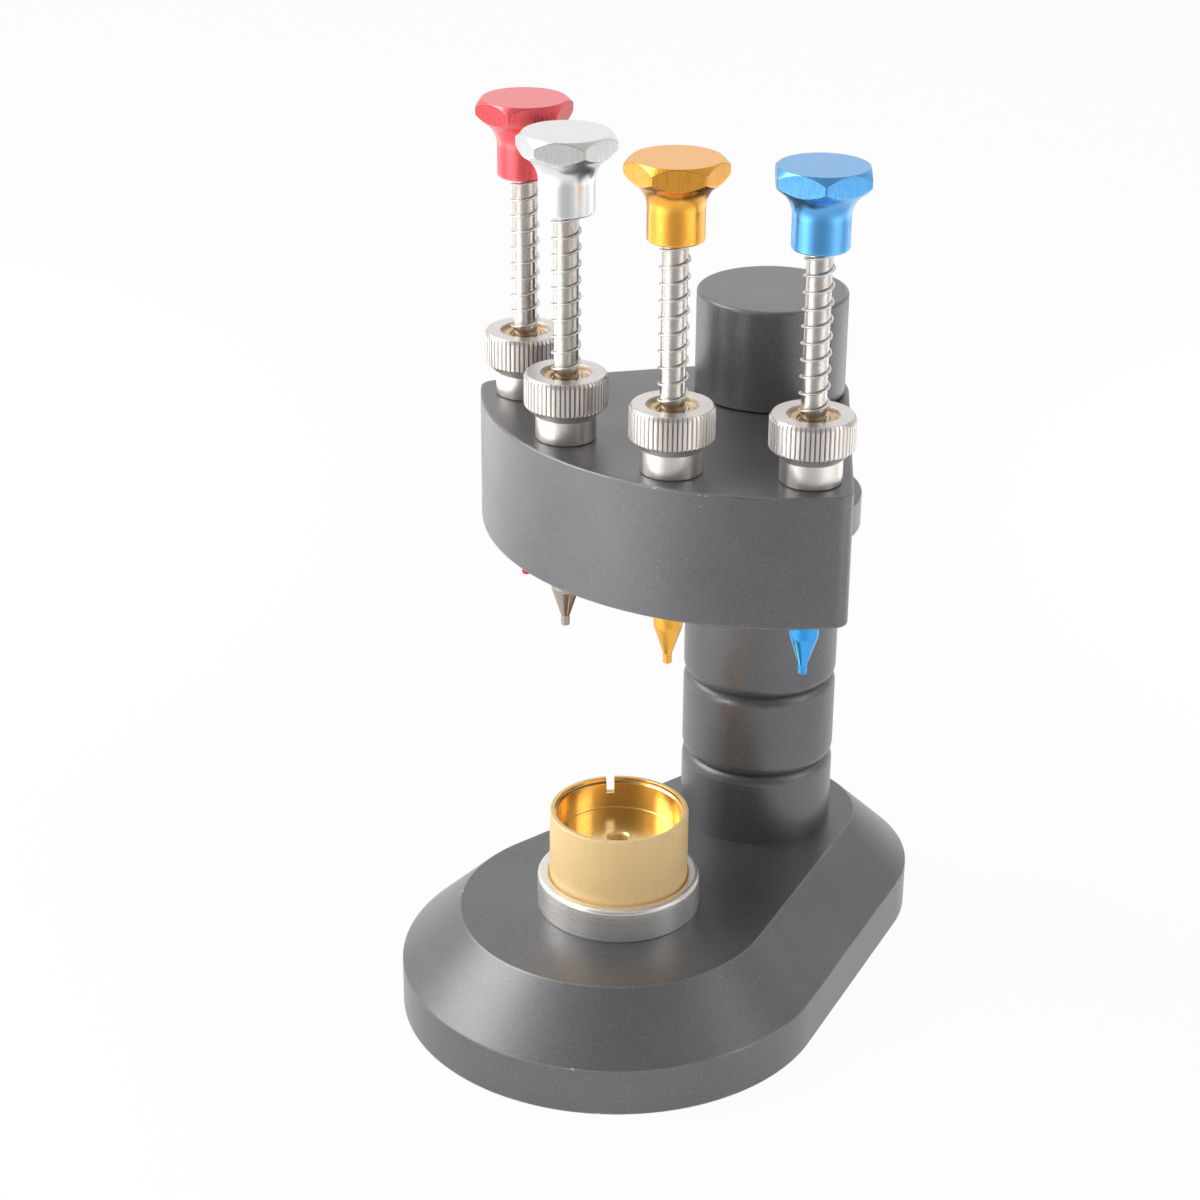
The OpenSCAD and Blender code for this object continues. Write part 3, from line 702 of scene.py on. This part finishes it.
def build_finishes(look):
    """Makes the effect groups once, and then all materials, kept by name."""
    for make in (make_grain, make_wear, make_turning, make_milling):
        make()
    FINISHES.update(
        body=dark_body(tuple(look.body)),
        steel=turned_metal("Polished shaft steel", (0.64, 0.6, 0.56), (0.58, 0.54, 0.5), 0.22,
                           scale=4200.0, bump=0.000003),
        wire=turned_metal("Bright spring wire", (0.93, 0.92, 0.9), (0.85, 0.84, 0.82), 0.34,
                          scale=5000.0, bump=0.000002),
        collar=collar_metal(),
        ring=turned_metal("Satin turned steel", (0.88, 0.85, 0.83), (0.85, 0.82, 0.79), 0.3,
                          axis=CUP_AXIS, scale=2600.0, bump=0.000003, metallic=0.75, streak=0.05),
        bronze=turned_metal("Plain bronze", (0.5, 0.3, 0.16), (0.4, 0.22, 0.11), 0.32),
        bush=turned_metal("Bright brass bush", (0.8, 0.6, 0.36), (0.66, 0.45, 0.24), 0.28),
        cup=cup_brass(tuple(look.brass)))
    for tone in TONES:
        FINISHES["knob_" + tone] = knob_metal(tone, tuple(getattr(look, "knob_" + tone)))
        FINISHES["tip_" + tone] = tip_skin(tone, tuple(getattr(look, "tip_" + tone)))


# Settings


def tint(name, colour):
    """A colour setting, in linear values."""
    return FloatVectorProperty(name=name, description="Colour of the " + name.lower(), subtype="COLOR",
                               default=colour, min=0, max=1)


def length(name, about, size, low, high):
    """A length setting, in metres."""
    return FloatProperty(name=name, description=about, default=size, min=low, max=high, unit="LENGTH")


class PressFinish(bpy.types.PropertyGroup):
    """Colours of the press"""

    body: tint("Dark body", (0.148, 0.148, 0.154))
    brass: tint("Cup's outside", (1.0, 0.72, 0.34))
    knob_red: tint("Red knob", (0.98, 0.13, 0.15))
    knob_silver: tint("Silver knob", (0.86, 0.87, 0.87))
    knob_gold: tint("Gold knob", (1.0, 0.46, 0.06))
    knob_blue: tint("Blue knob", (0.12, 0.42, 0.84))
    tip_red: tint("Red tip", (0.85, 0.05, 0.07))
    tip_silver: tint("Silver tip", (0.46, 0.4, 0.35))
    tip_gold: tint("Gold tip", (1.0, 0.5, 0.08))
    tip_blue: tint("Blue tip", (0.06, 0.42, 0.95))


class PressSizes(bpy.types.PropertyGroup):
    """Small sizes of the visible pieces"""

    body_edge: length("Body edges", "Radius of the dark pieces' edges", 0.0004, 0.0001, 0.001)
    knob_edge: length("Knob edges", "Radius of the knobs' edges", 0.00018, 0.00005, 0.0005)
    knurl_depth: length("Knurl depth", "Depth of the collars' grooves", 0.0004, 0.0001, 0.0005)
    knurl_count: IntProperty(name="Knurl ridges", description="Ridges round each collar",
                             default=54, min=40, max=70)
    spring_wire: length("Spring wire", "Thickness of the spring wire", 0.00042, 0.0003, 0.0005)
    spring_turns: IntProperty(name="Spring turns", description="Turns of each return spring",
                              default=12, min=6, max=12)


# Operators


class PRESS_OT_finishes(bpy.types.Operator):
    """Build the materials and give them to the CAD nodes that stay in view"""

    bl_idname = "press.finishes"
    bl_label = "Finishes"

    def execute(self, context):
        build_finishes(context.scene.press_finish)
        kept = dict.fromkeys(("thrust_washer", "cap_washer", "head_bush"), "bronze")
        kept |= dict.fromkeys(("column_screw", "index_dowels", "spindle", "seat_screw"), "steel")
        kept["detent_ball"] = "steel"
        kept |= {"lower_bush_" + tone: "bush" for tone in TONES}
        kept |= {"clip_" + tone: "wire" for tone in TONES}
        for node, finish in kept.items():
            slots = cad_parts[node].data.materials
            slots.clear()
            slots.append(FINISHES[finish])
        return {"FINISHED"}


class PRESS_OT_base(bpy.types.Operator):
    """Base plate: the lobed outline carried up its side and bevel, with two sunk screw holes below"""

    bl_idname = "press.base"
    bl_label = "Base plate"

    def execute(self, context):
        edge = context.scene.press_sizes.body_edge / MM
        corners = [(LIP, 0), (0, 0), (0, SIDE_H), (BEVEL_IN, BASE_H), (BEVEL_IN + LIP, BASE_H)]
        profile, marks = rounded(corners, [0, edge, edge, edge, 0], 3, HOLD)
        skin = Skin()
        skin.grid(carried([lobes(inset) for inset, _ in profile], profile[:, 1]), marks[:, None])
        skin.plate([lobes(BEVEL_IN + LIP)], BASE_H)
        holes = [skin.hole(at, radius, 0, depth)
                 for at, (radius, depth) in ((COLUMN_AT, COLUMN_SCREW), (CUP_AT, RING_SCREW))]
        skin.plate([lobes(LIP), *holes], 0.0)
        skin.piece("base_plate", "body", "stand", "body", "base")
        return {"FINISHED"}


class PRESS_OT_column(bpy.types.Operator):
    """Column with its two rounded grooves, the index plate and the cap, each turned about one axis"""

    bl_idname = "press.column"
    bl_label = "Column, index plate and cap"

    def execute(self, context):
        edge = context.scene.press_sizes.body_edge / MM
        half_turn = math.acos((GROOVE_ROUND - GROOVE_DEPTH) / GROOVE_ROUND)
        half = GROOVE_ROUND * math.sin(half_turn)
        line = [(0, COLUMN_LOW), (COLUMN_R, COLUMN_LOW)]
        for height in GROOVE_HEIGHTS:
            z = BASE_H + height
            below = arc((COLUMN_R - GROOVE_ROUND, z - half), GROOVE_ROUND, 0, half_turn, 9)
            above = arc((COLUMN_R - GROOVE_ROUND, z + half), GROOVE_ROUND, -half_turn, 0, 9)
            line += [(COLUMN_R, below[0][1] - HOLD), *below, *above, (COLUMN_R, above[-1][1] + HOLD)]
        line += [(COLUMN_R, COLUMN_HIGH), (0, COLUMN_HIGH)]
        skin = Skin()
        skin.turned(line, COLUMN_AT, around(LARGE))
        skin.piece("column_bar", "body", "stand", "body", "column")
        turned_piece(("index_disc", "body", "stand", "body", "index_plate"), PLATE_AT, LARGE,
                     [(0, PLATE_LOW), (PLATE_R, PLATE_LOW), (PLATE_R, PLATE_HIGH), (0, PLATE_HIGH)],
                     [0, edge, edge, 0])
        turned_piece(("cap_body", "body", "stand", "body", "cap"), CAP_AT, LARGE,
                     [(0, CAP_LOW), (CAP_R, CAP_LOW), (CAP_R, CAP_HIGH), (0, CAP_HIGH)],
                     [0, 0.3, 0.7, 0], 5, 0.2)
        return {"FINISHED"}


class PRESS_OT_head(bpy.types.Operator):
    """Fan-shaped head with round corners, a pocket round the index plate, and room above the four tips"""

    bl_idname = "press.head"
    bl_label = "Head"

    def execute(self, context):
        edge = context.scene.press_sizes.body_edge / MM
        fan, hub = head_paths(0)
        right = math.atan2(fan[-1][1], fan[-1][0])
        pocket = arc((0, 0), POCKET_R, right - POCKET_GAP, -math.pi - right + POCKET_GAP, 64)
        skin = Skin()

        # Below the pocket's ceiling the outline is the fan and the pocket's circle
        corners = [(LOW_LIP, HEAD_LOW), (0, HEAD_LOW), (0, POCKET_TOP)]
        profile, marks = rounded(corners, [0, edge, 0], hold=HOLD)
        loops = [placed(np.concatenate([head_paths(inset)[0], pocket])) for inset, _ in profile]
        skin.grid(carried(loops, profile[:, 1]), marks[:, None])
        rooms = [skin.hole(ROD_AT[tone], TIP_ROOM_R, HEAD_LOW, TIP_ROOM_TOP) for tone in TONES]
        skin.plate([loops[0], *rooms], HEAD_LOW)
        skin.plate([placed(np.concatenate([hub, pocket[::-1]]))], POCKET_TOP)

        # Above it the outline is the fan and the hub
        corners = [(0, POCKET_TOP), (0, HEAD_HIGH), (LIP, HEAD_HIGH)]
        profile, marks = rounded(corners, [0, edge, 0], hold=HOLD)
        paths = [head_paths(inset) for inset, _ in profile]
        loops = [placed(np.concatenate([fan, hub[1:-1]])) for fan, hub in paths]
        skin.grid(carried(loops, profile[:, 1]), marks[:, None])
        skin.plate([loops[-1]], HEAD_HIGH)
        skin.piece("head_block", "body", "turning_head", "body", "head")
        return {"FINISHED"}


class PRESS_OT_seat(bpy.types.Operator):
    """Seat ring and brass cup, turned about one axis. The cup's rim drops in the columns of its notch"""

    bl_idname = "press.seat"
    bl_label = "Seat ring and cup"

    def execute(self, context):
        pocket = CUP_R + CUP_PLAY
        turned_piece(
            ("seat_ring_turned", "ring", "stand", "satin_steel", "seat_ring"), RING_AT, RING_COLUMNS,
            [(0, RING_LOW), (RING_STEM_R, RING_LOW), (RING_STEM_R, BASE_H), (RING_R, BASE_H),
             (RING_R, RING_HIGH), (pocket + POCKET_RIM, RING_HIGH), (pocket, RING_HIGH - POCKET_RIM),
             (pocket, RING_FLOOR), (0, RING_FLOOR)], [0, 0, 0, 0.2, 0.9, 0.1, 0.1, 0, 0], 6, 0.15)

        bevel_r = HOLE_R + HOLE_BEVEL
        corners = [(bevel_r, WELL_FLOOR), (bevel_r + 0.25, WELL_FLOOR), (WELL_R, WELL_FLOOR),
                   (WELL_R, STEP_LOW), (WELL_R + STEP_IN, STEP_HIGH), (WELL_R + STEP_IN, CUP_HIGH),
                   (CUP_R, CUP_HIGH), (CUP_R, CUP_LOW), (LOW_WELL_R, CUP_LOW), (LOW_WELL_R, LOW_WELL_TOP),
                   (HOLE_R, LOW_WELL_TOP), (HOLE_R, WELL_FLOOR - HOLE_BEVEL)]
        radii = [0, 0, 0.2, 0.08, 0.08, 0.15, 0.35, 0.3, 0.2, 0.2, 0.1, 0]
        line, marks = rounded(corners, radii)
        inside = np.arange(len(line)) < np.argmax(line[:, 1])
        half = math.asin(NOTCH_W / 2 / CUP_R)
        t = np.concatenate([np.linspace(NOTCH_TURN + half, NOTCH_TURN + 2 * np.pi - half, CUP_COLUMNS),
                            np.linspace(NOTCH_TURN - half, NOTCH_TURN + half, NOTCH_COLUMNS)])
        profiles = np.tile(line, (len(t), 1, 1))
        in_notch = profiles[-NOTCH_COLUMNS:, :, 1]
        np.minimum(in_notch, NOTCH_FLOOR, out=in_notch)
        skin = Skin()
        skin.turned(profiles, CUP_AT, t, marks, 1.0 * inside[:, None], ring=True)
        skin.piece("movement_cup_turned", "cup", "cup", "brass", "movement_cup")
        return {"FINISHED"}


class PRESS_OT_collars(bpy.types.Operator):
    """Four knurled collars, each with its brass bush.

    The radius of the knurled band is the collar's radius less the groove's depth times a wave of the
    angle: the part of its cosine that lies above a start, raised to a power. The bevel and the taper are
    cones, so each column's corners lie where its radius meets them.
    """

    bl_idname = "press.collars"
    bl_label = "Collars and bushes"

    def execute(self, context):
        sizes = context.scene.press_sizes
        depth = sizes.knurl_depth / MM
        t = around(sizes.knurl_count * RIDGE_COLUMNS)
        wave = (np.cos(t * sizes.knurl_count) - GROOVE_START) / (1 - GROOVE_START)
        groove = depth * np.clip(wave, 0, None) ** GROOVE_POWER
        slope = KNURL_BEVEL_H / KNURL_BEVEL_IN
        taper = (KNURL_LOW - FOOT_BAND) / (COLLAR_R - COLLAR_FOOT_R)
        height = COLLAR_HIGH - HEAD_HIGH
        band = COLLAR_R - groove
        band_high = height - KNURL_BEVEL_H + groove * slope
        line = [(COLLAR_BORE_R, height - RECESS_FOOT), (RECESS_R, height - RECESS_FOOT), (RECESS_R, height),
                (COLLAR_R - KNURL_BEVEL_IN, height), (band, band_high), (band, KNURL_LOW - groove * taper),
                (COLLAR_FOOT_R, FOOT_BAND), (COLLAR_FOOT_R, FOOT_BEVEL), (COLLAR_FOOT_R - FOOT_BEVEL, 0),
                (COLLAR_BORE_R, 0)]
        corners = varied([(r, HEAD_HIGH + z) for r, z in line], t)
        points, marks = rounded(corners, [0, 0, 0.15, 0.2, 0.12, 0.2, 0.15, 0, 0, 0], 3, 0.08)
        r, z = points[..., 0], points[..., 1]
        # The attribute "inside" carries each point's groove depth in the knurled band, for the painted
        # shade in the grooves
        in_band = (z > HEAD_HIGH + FOOT_BAND + 0.5) & (r > COLLAR_R - KNURL_BEVEL_IN - 0.1)
        shaded = np.where(in_band, groove[:, None] / depth, 0.0)
        top = COLLAR_HIGH - RECESS_DEPTH
        foot = top - BUSH_LENGTH
        bush = [(BUSH_BORE_R, foot), (BUSH_BORE_R, top), (BUSH_R, top), (BUSH_R, foot)]
        for tone in TONES:
            skin = Skin()
            skin.turned(points, ROD_AT[tone], t, marks, shaded.T, ring=True)
            skin.piece("collar_knurled_" + tone, "collar", "turning_head", "satin_steel", "collar_" + tone)
            names = ("guide_bush_turned_" + tone, "bush", "turning_head", "brass", "guide_bush_" + tone)
            turned_piece(names, ROD_AT[tone], SMALL, bush, [0, 0.5, 0.35, 0], 5, 0.1, ring=True)
        return {"FINISHED"}


class PRESS_OT_springs(bpy.types.Operator):
    """Return springs, each made at one length though the real ones shorten as their plungers go
    down, and the small detent spring
    """

    bl_idname = "press.springs"
    bl_label = "Springs"

    def execute(self, context):
        sizes = context.scene.press_sizes
        wire = sizes.spring_wire / MM
        for tone in TONES:
            at = ROD_AT[tone]
            skin = Skin()
            skin.grid(helix(SPRING_R, SPRING_LOW - SPRING_SUNK, SPRING_HIGH, sizes.spring_turns, wire, at))
            made = skin.piece("spring_" + tone, "wire", "turning_head", "spring_wire",
                              "return_spring_" + tone, smooth=60)
            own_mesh(made)
        at, _, low, high = node_axis("detent_spring")
        skin = Skin()
        skin.grid(helix(DETENT_COIL_R, low, high, DETENT_TURNS, DETENT_WIRE, at))
        skin.piece("detent_coil", "wire", "turning_head", "spring_wire", "detent_spring", smooth=60)
        return {"FINISHED"}


class PRESS_OT_plungers(bpy.types.Operator):
    """Knobs, rods and tips of the four plungers.

    A knob's columns run up the turned shank and flare to the hexagon's radius at their own angle: the
    flat's distance over the cosine of the angle from its middle, with a small arc at each corner.
    """

    bl_idname = "press.plungers"
    bl_label = "Plungers"

    def execute(self, context):
        edge = context.scene.press_sizes.knob_edge / MM
        for tone in TONES:
            self.knob(tone, edge)
            self.rod(tone)
            self.tip(tone)
        return {"FINISHED"}

    def knob(self, tone, edge):
        height = KNOB_HIGH - KNOB_LOW
        sector = math.pi / 3
        corner_r = KNOB_FLAT / math.cos(sector / 2)

        # Columns lie closer together near the six corners
        fine = 0.42
        spread = np.concatenate([np.linspace(-0.5, -fine, 8, endpoint=False),
                                 np.linspace(-fine, fine, 14, endpoint=False),
                                 np.linspace(fine, 0.5, 8, endpoint=False)])
        local = np.tile(spread * sector, 6)
        flats = np.repeat(np.arange(6) * sector, len(spread)) + sector / 2
        t = local + flats + math.radians(KNOB_CORNERS[tone] - 90)

        on_flat = KNOB_FLAT / np.cos(local)
        arc_at = (KNOB_FLAT - KNOB_CORNER_R) / math.cos(sector / 2)
        off = sector / 2 - np.abs(local)
        on_arc = np.sqrt(np.maximum(KNOB_CORNER_R ** 2 - (arc_at * np.sin(off)) ** 2, 0))
        is_flat = KNOB_FLAT * np.tan(np.abs(local)) < (KNOB_FLAT - KNOB_CORNER_R) * math.tan(sector / 2)
        hexagon = np.where(is_flat, on_flat, arc_at * np.cos(off) + on_arc)
        ledge_r = KNOB_FLAT - KNOB_LEDGE
        rise = HEX_DROP / (corner_r - KNOB_FLAT) * (hexagon - ledge_r)

        out, up = KNOB_FLAT - SHANK_R, HEX_LOW - FLARE_LOW
        flare_r = (out ** 2 + up ** 2) / (2 * out)
        flare_end = math.acos((out - KNOB_LEDGE - flare_r) / flare_r)
        flare = arc((SHANK_R + flare_r, FLARE_LOW), flare_r, math.pi, flare_end, 14)

        corners = [(0, 0), (SHANK_R, 0), (SHANK_R, FLARE_LOW)]
        shank, shank_marks = rounded(corners, [0, SHANK_EDGE, 0], 5, 0.15)
        corners = [flare[-2], flare[-1], (hexagon, flare[-1][1] + rise), (hexagon, height - rise),
                   (ledge_r, height), (0, height)]
        high, high_marks = rounded(varied(corners, t), [0, 0, edge, edge, edge, 0], 3, 0.1)
        points = np.concatenate([varied([*shank, *flare[1:-1]], t), high[:, 1:]], 1)
        points[..., 1] += KNOB_LOW
        marks = np.concatenate([shank_marks, np.zeros(len(flare) - 2), high_marks[1:]])
        hexed = np.arange(len(marks)) > len(marks) - len(high_marks)
        skin = Skin()
        skin.turned(points, ROD_AT[tone], t, marks, 1.0 * hexed[:, None])
        skin.piece("knob_hex_" + tone, "knob_" + tone, "plunger_" + tone, "knob_" + tone, "knob_" + tone)

    def rod(self, tone):
        low, high = (corner[2] for corner in node_box("rod_" + tone))
        clip_low, clip_high = (corner[2] for corner in node_box("clip_" + tone))
        turned_piece(
            ("rod_turned_" + tone, "steel", "plunger_" + tone, "steel", "rod_" + tone), ROD_AT[tone], SMALL,
            [(0, low), (ROD_FOOT_R, low), (ROD_FOOT_R, TIP_TOP), (ROD_R, TIP_TOP), (ROD_R, clip_low),
             (CLIP_GROOVE_R, clip_low), (CLIP_GROOVE_R, clip_high), (ROD_R, clip_high), (ROD_R, high),
             (0, high)], [0, 0.2, 0, 0, 0, 0, 0, 0, 0.2, 0], 3)

    def tip(self, tone):
        turned_piece(
            ("tip_turned_" + tone, "tip_" + tone, "plunger_" + tone, "tip_" + tone, "tip_" + tone),
            ROD_AT[tone], SMALL,
            [(0, NIB_LOW), (NIB_R, NIB_LOW), (NIB_R, NIB_TOP), (CONE_R, CONE_TOP), (TIP_R, SHOULDER_TOP),
             (TIP_R, TIP_TOP), (TIP_BORE_R, TIP_TOP), (TIP_BORE_R, TIP_BORE_LOW), (0, TIP_BORE_LOW)],
            [0, 0.2, 0.25, 0.08, 0.08, 0.2, 0, 0, 0], 4, 0.08, smooth=8.0)


class PRESS_OT_stage(bpy.types.Operator):
    """Pale floor, white surroundings, soft lamps, and a camera at the photograph's angle"""

    bl_idname = "press.stage"
    bl_label = "Stage"

    def execute(self, context):
        self.floor()
        self.surroundings(context.scene)
        self.lamps()
        self.camera(context.scene)
        context.scene.view_settings.view_transform = "Standard"
        return {"FINISHED"}

    def floor(self):
        """White paper that keeps a faint shadow. Reflections see a painted glow on it beside the base,
        fading further out, and a painted shadow on the camera's side."""
        corners = [(x * FLOOR_HALF, y * FLOOR_HALF, 0) for x, y in ((-1, -1), (1, -1), (1, 1), (-1, 1))]
        mesh = bpy.data.meshes.new("floor")
        mesh.from_pydata(corners, [], [(0, 1, 2, 3)])
        floor = bpy.data.objects.new("floor", mesh)
        bpy.context.scene.collection.objects.link(floor)
        paper = bpy.data.materials.new("White paper")
        paper.use_nodes = True
        mesh.materials.append(paper)
        tree = paper.node_tree
        tree.nodes.remove(tree.nodes["Principled BSDF"])
        place = shader_node(tree, "TexCoord").outputs["Object"]
        path = shader_node(tree, "LightPath").outputs
        seen = maths("MAXIMUM", path["Is Glossy Ray"], path["Is Transmission Ray"])
        # Painted shadow: reflections see the paper darkened round a place on the camera's side
        away = vector_maths("DISTANCE", place, FLOOR_PAINTED_SHADOW_AT)
        painted_shadow_mask = product(seen, remap(away, 0.34, 0.1))
        dark = (FLOOR_PAINTED_SHADOW,) * 3
        matt = shader_node(tree, "BsdfDiffuse", {"Color": mixed(painted_shadow_mask, (0.9, 0.9, 0.9), dark)})
        glow = shader_node(tree, "Emission", {"Color": mixed(painted_shadow_mask, (1.0, 1.0, 1.0), dark)})
        # Painted light: reflections see the paper glow more strongly beside the base than further out
        beside = remap(vector_maths("LENGTH", place), 0.08, 0.19, 0.85, 0.3)
        share = maths("ADD", product(path["Is Camera Ray"], 0.95),
                      product(seen, beside))
        blend = shader_node(share, "MixShader", {0: share, 1: matt.outputs[0], 2: glow.outputs[0]})
        feed(tree.nodes["Material Output"], {"Surface": blend.outputs[0]})

    def surroundings(self, scene):
        """White for the camera. Reflections see a light tent: brightest at the back left, dimmer overhead
        and at the right, and dark where it opens towards the camera. All else sees an even pale grey."""
        world = bpy.data.worlds.new("Light tent")
        scene.world = world
        world.use_nodes = True
        tree = world.node_tree
        way = shader_node(tree, "TexCoord").outputs["Generated"]

        def towards(*aim):
            return vector_maths("DOT_PRODUCT", way, Vector(aim).normalized())

        tent = remap(towards(-0.8, 0.55, 0.15), -0.2, 0.75, TENT_DIM, TENT_BRIGHT)
        tent = mixed(remap(towards(0.5, -0.8, 0.25), 0.62, 0.95), tent, (TENT_DARK,) * 3)
        path = shader_node(tree, "LightPath").outputs
        lit = mixed(path["Is Glossy Ray"], (TENT_FILL,) * 3, tent)
        seen = mixed(path["Is Camera Ray"], lit, (1.0, 1.0, 1.0))
        feed(tree.nodes["Background"], {"Color": seen})

    def lamps(self):
        """Two soft boxes light the press, spots light the paper that its upright faces mirror, and a low
        narrow spot lights the cup. Each has its place, aim, size, power and, for a spot, its cone."""
        press = (0.0, -0.01, 0.09)
        for name, place, aim, size, power, cone in (
            ("left_box", (-0.64, -0.36, 0.74), press, 0.65, 6.0, None),
            ("right_box", (0.9, 0.25, 0.5), press, 0.5, 1.2, None),
            ("left_paper", (-0.46, -0.02, 0.4), (-0.46, -0.02, 0.0), 0.1, 15.0, 75),
            ("front_paper", (-0.2, -0.38, 0.4), (-0.2, -0.38, 0.0), 0.1, 24.0, 75),
            ("right_paper", (0.46, 0.05, 0.4), (0.46, 0.05, 0.0), 0.1, 14.0, 75),
            ("back_paper", (0.14, 0.4, 0.4), (0.14, 0.4, 0.0), 0.1, 12.0, 75),
            ("cup_fill", (-0.28, -0.88, 0.2), (-0.01, -0.03, 0.045), 0.12, 8.0, 18),
        ):
            lamp = bpy.data.lights.new(name, "SPOT" if cone else "AREA")
            lamp.energy = power
            if cone:
                lamp.shadow_soft_size = size
                lamp.spot_size = math.radians(cone)
                lamp.spot_blend = 1.0
            else:
                lamp.size = size
            holder = bpy.data.objects.new(name, lamp)
            holder.location = place
            holder.rotation_mode = "QUATERNION"
            holder.rotation_quaternion = (Vector(aim) - Vector(place)).to_track_quat("-Z", "Y")
            holder.visible_camera = False
            bpy.context.scene.collection.objects.link(holder)

    def camera(self, scene):
        """The fitted camera. It looks at its aim from the direction that its turn and pitch give, and its
        picture is rolled about that line."""
        turn, pitch, roll = (math.radians(angle) for angle in CAMERA_TURNS)
        flat = math.cos(pitch)
        back = Vector((math.sin(turn) * flat, -math.cos(turn) * flat, math.sin(pitch)))
        right = Vector((math.cos(turn), math.sin(turn), 0))
        up = back.cross(right)
        across = math.cos(roll) * right + math.sin(roll) * up
        upward = math.cos(roll) * up - math.sin(roll) * right
        lens = bpy.data.cameras.new("photo_camera")
        lens.sensor_width = CAMERA_SENSOR
        lens.lens = CAMERA_LENS
        lens.clip_start = 0.01
        lens.clip_end = 50.0
        holder = bpy.data.objects.new("photo_camera", lens)
        place = Matrix.Translation(Vector(CAMERA_AIM) * MM + back * (CAMERA_AWAY * MM))
        holder.matrix_world = place @ Matrix((across, upward, back)).transposed().to_4x4()
        scene.collection.objects.link(holder)
        scene.camera = holder


class PRESS_PT_panel(bpy.types.Panel):
    """The press's pieces, sizes and colours"""

    bl_label = "Watch hand press"
    bl_idname = "PRESS_PT_panel"
    bl_space_type = "VIEW_3D"
    bl_region_type = "UI"
    bl_category = "Hand Press"

    def draw(self, context):
        for operator in BUILD_ORDER:
            self.layout.operator(operator.bl_idname)
        for group_name in ("press_sizes", "press_finish"):
            box = self.layout.box()
            settings = getattr(context.scene, group_name)
            for label in settings.__annotations__:
                box.prop(settings, label)


BUILD_ORDER = (PRESS_OT_finishes, PRESS_OT_base, PRESS_OT_column, PRESS_OT_head, PRESS_OT_seat,
               PRESS_OT_collars, PRESS_OT_springs, PRESS_OT_plungers, PRESS_OT_stage)
CLASSES = (PressFinish, PressSizes, *BUILD_ORDER, PRESS_PT_panel)


def register():
    for cls in CLASSES:
        bpy.utils.register_class(cls)
    bpy.types.Scene.press_finish = PointerProperty(type=PressFinish)
    bpy.types.Scene.press_sizes = PointerProperty(type=PressSizes)


def unregister():
    del bpy.types.Scene.press_sizes
    del bpy.types.Scene.press_finish
    for cls in reversed(CLASSES):
        bpy.utils.unregister_class(cls)


def main():
    """Registers the add-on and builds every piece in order."""
    register()
    for operator in BUILD_ORDER:
        category, name = operator.bl_idname.split(".")
        getattr(getattr(bpy.ops, category), name)()


if __name__ == "__main__":
    main()
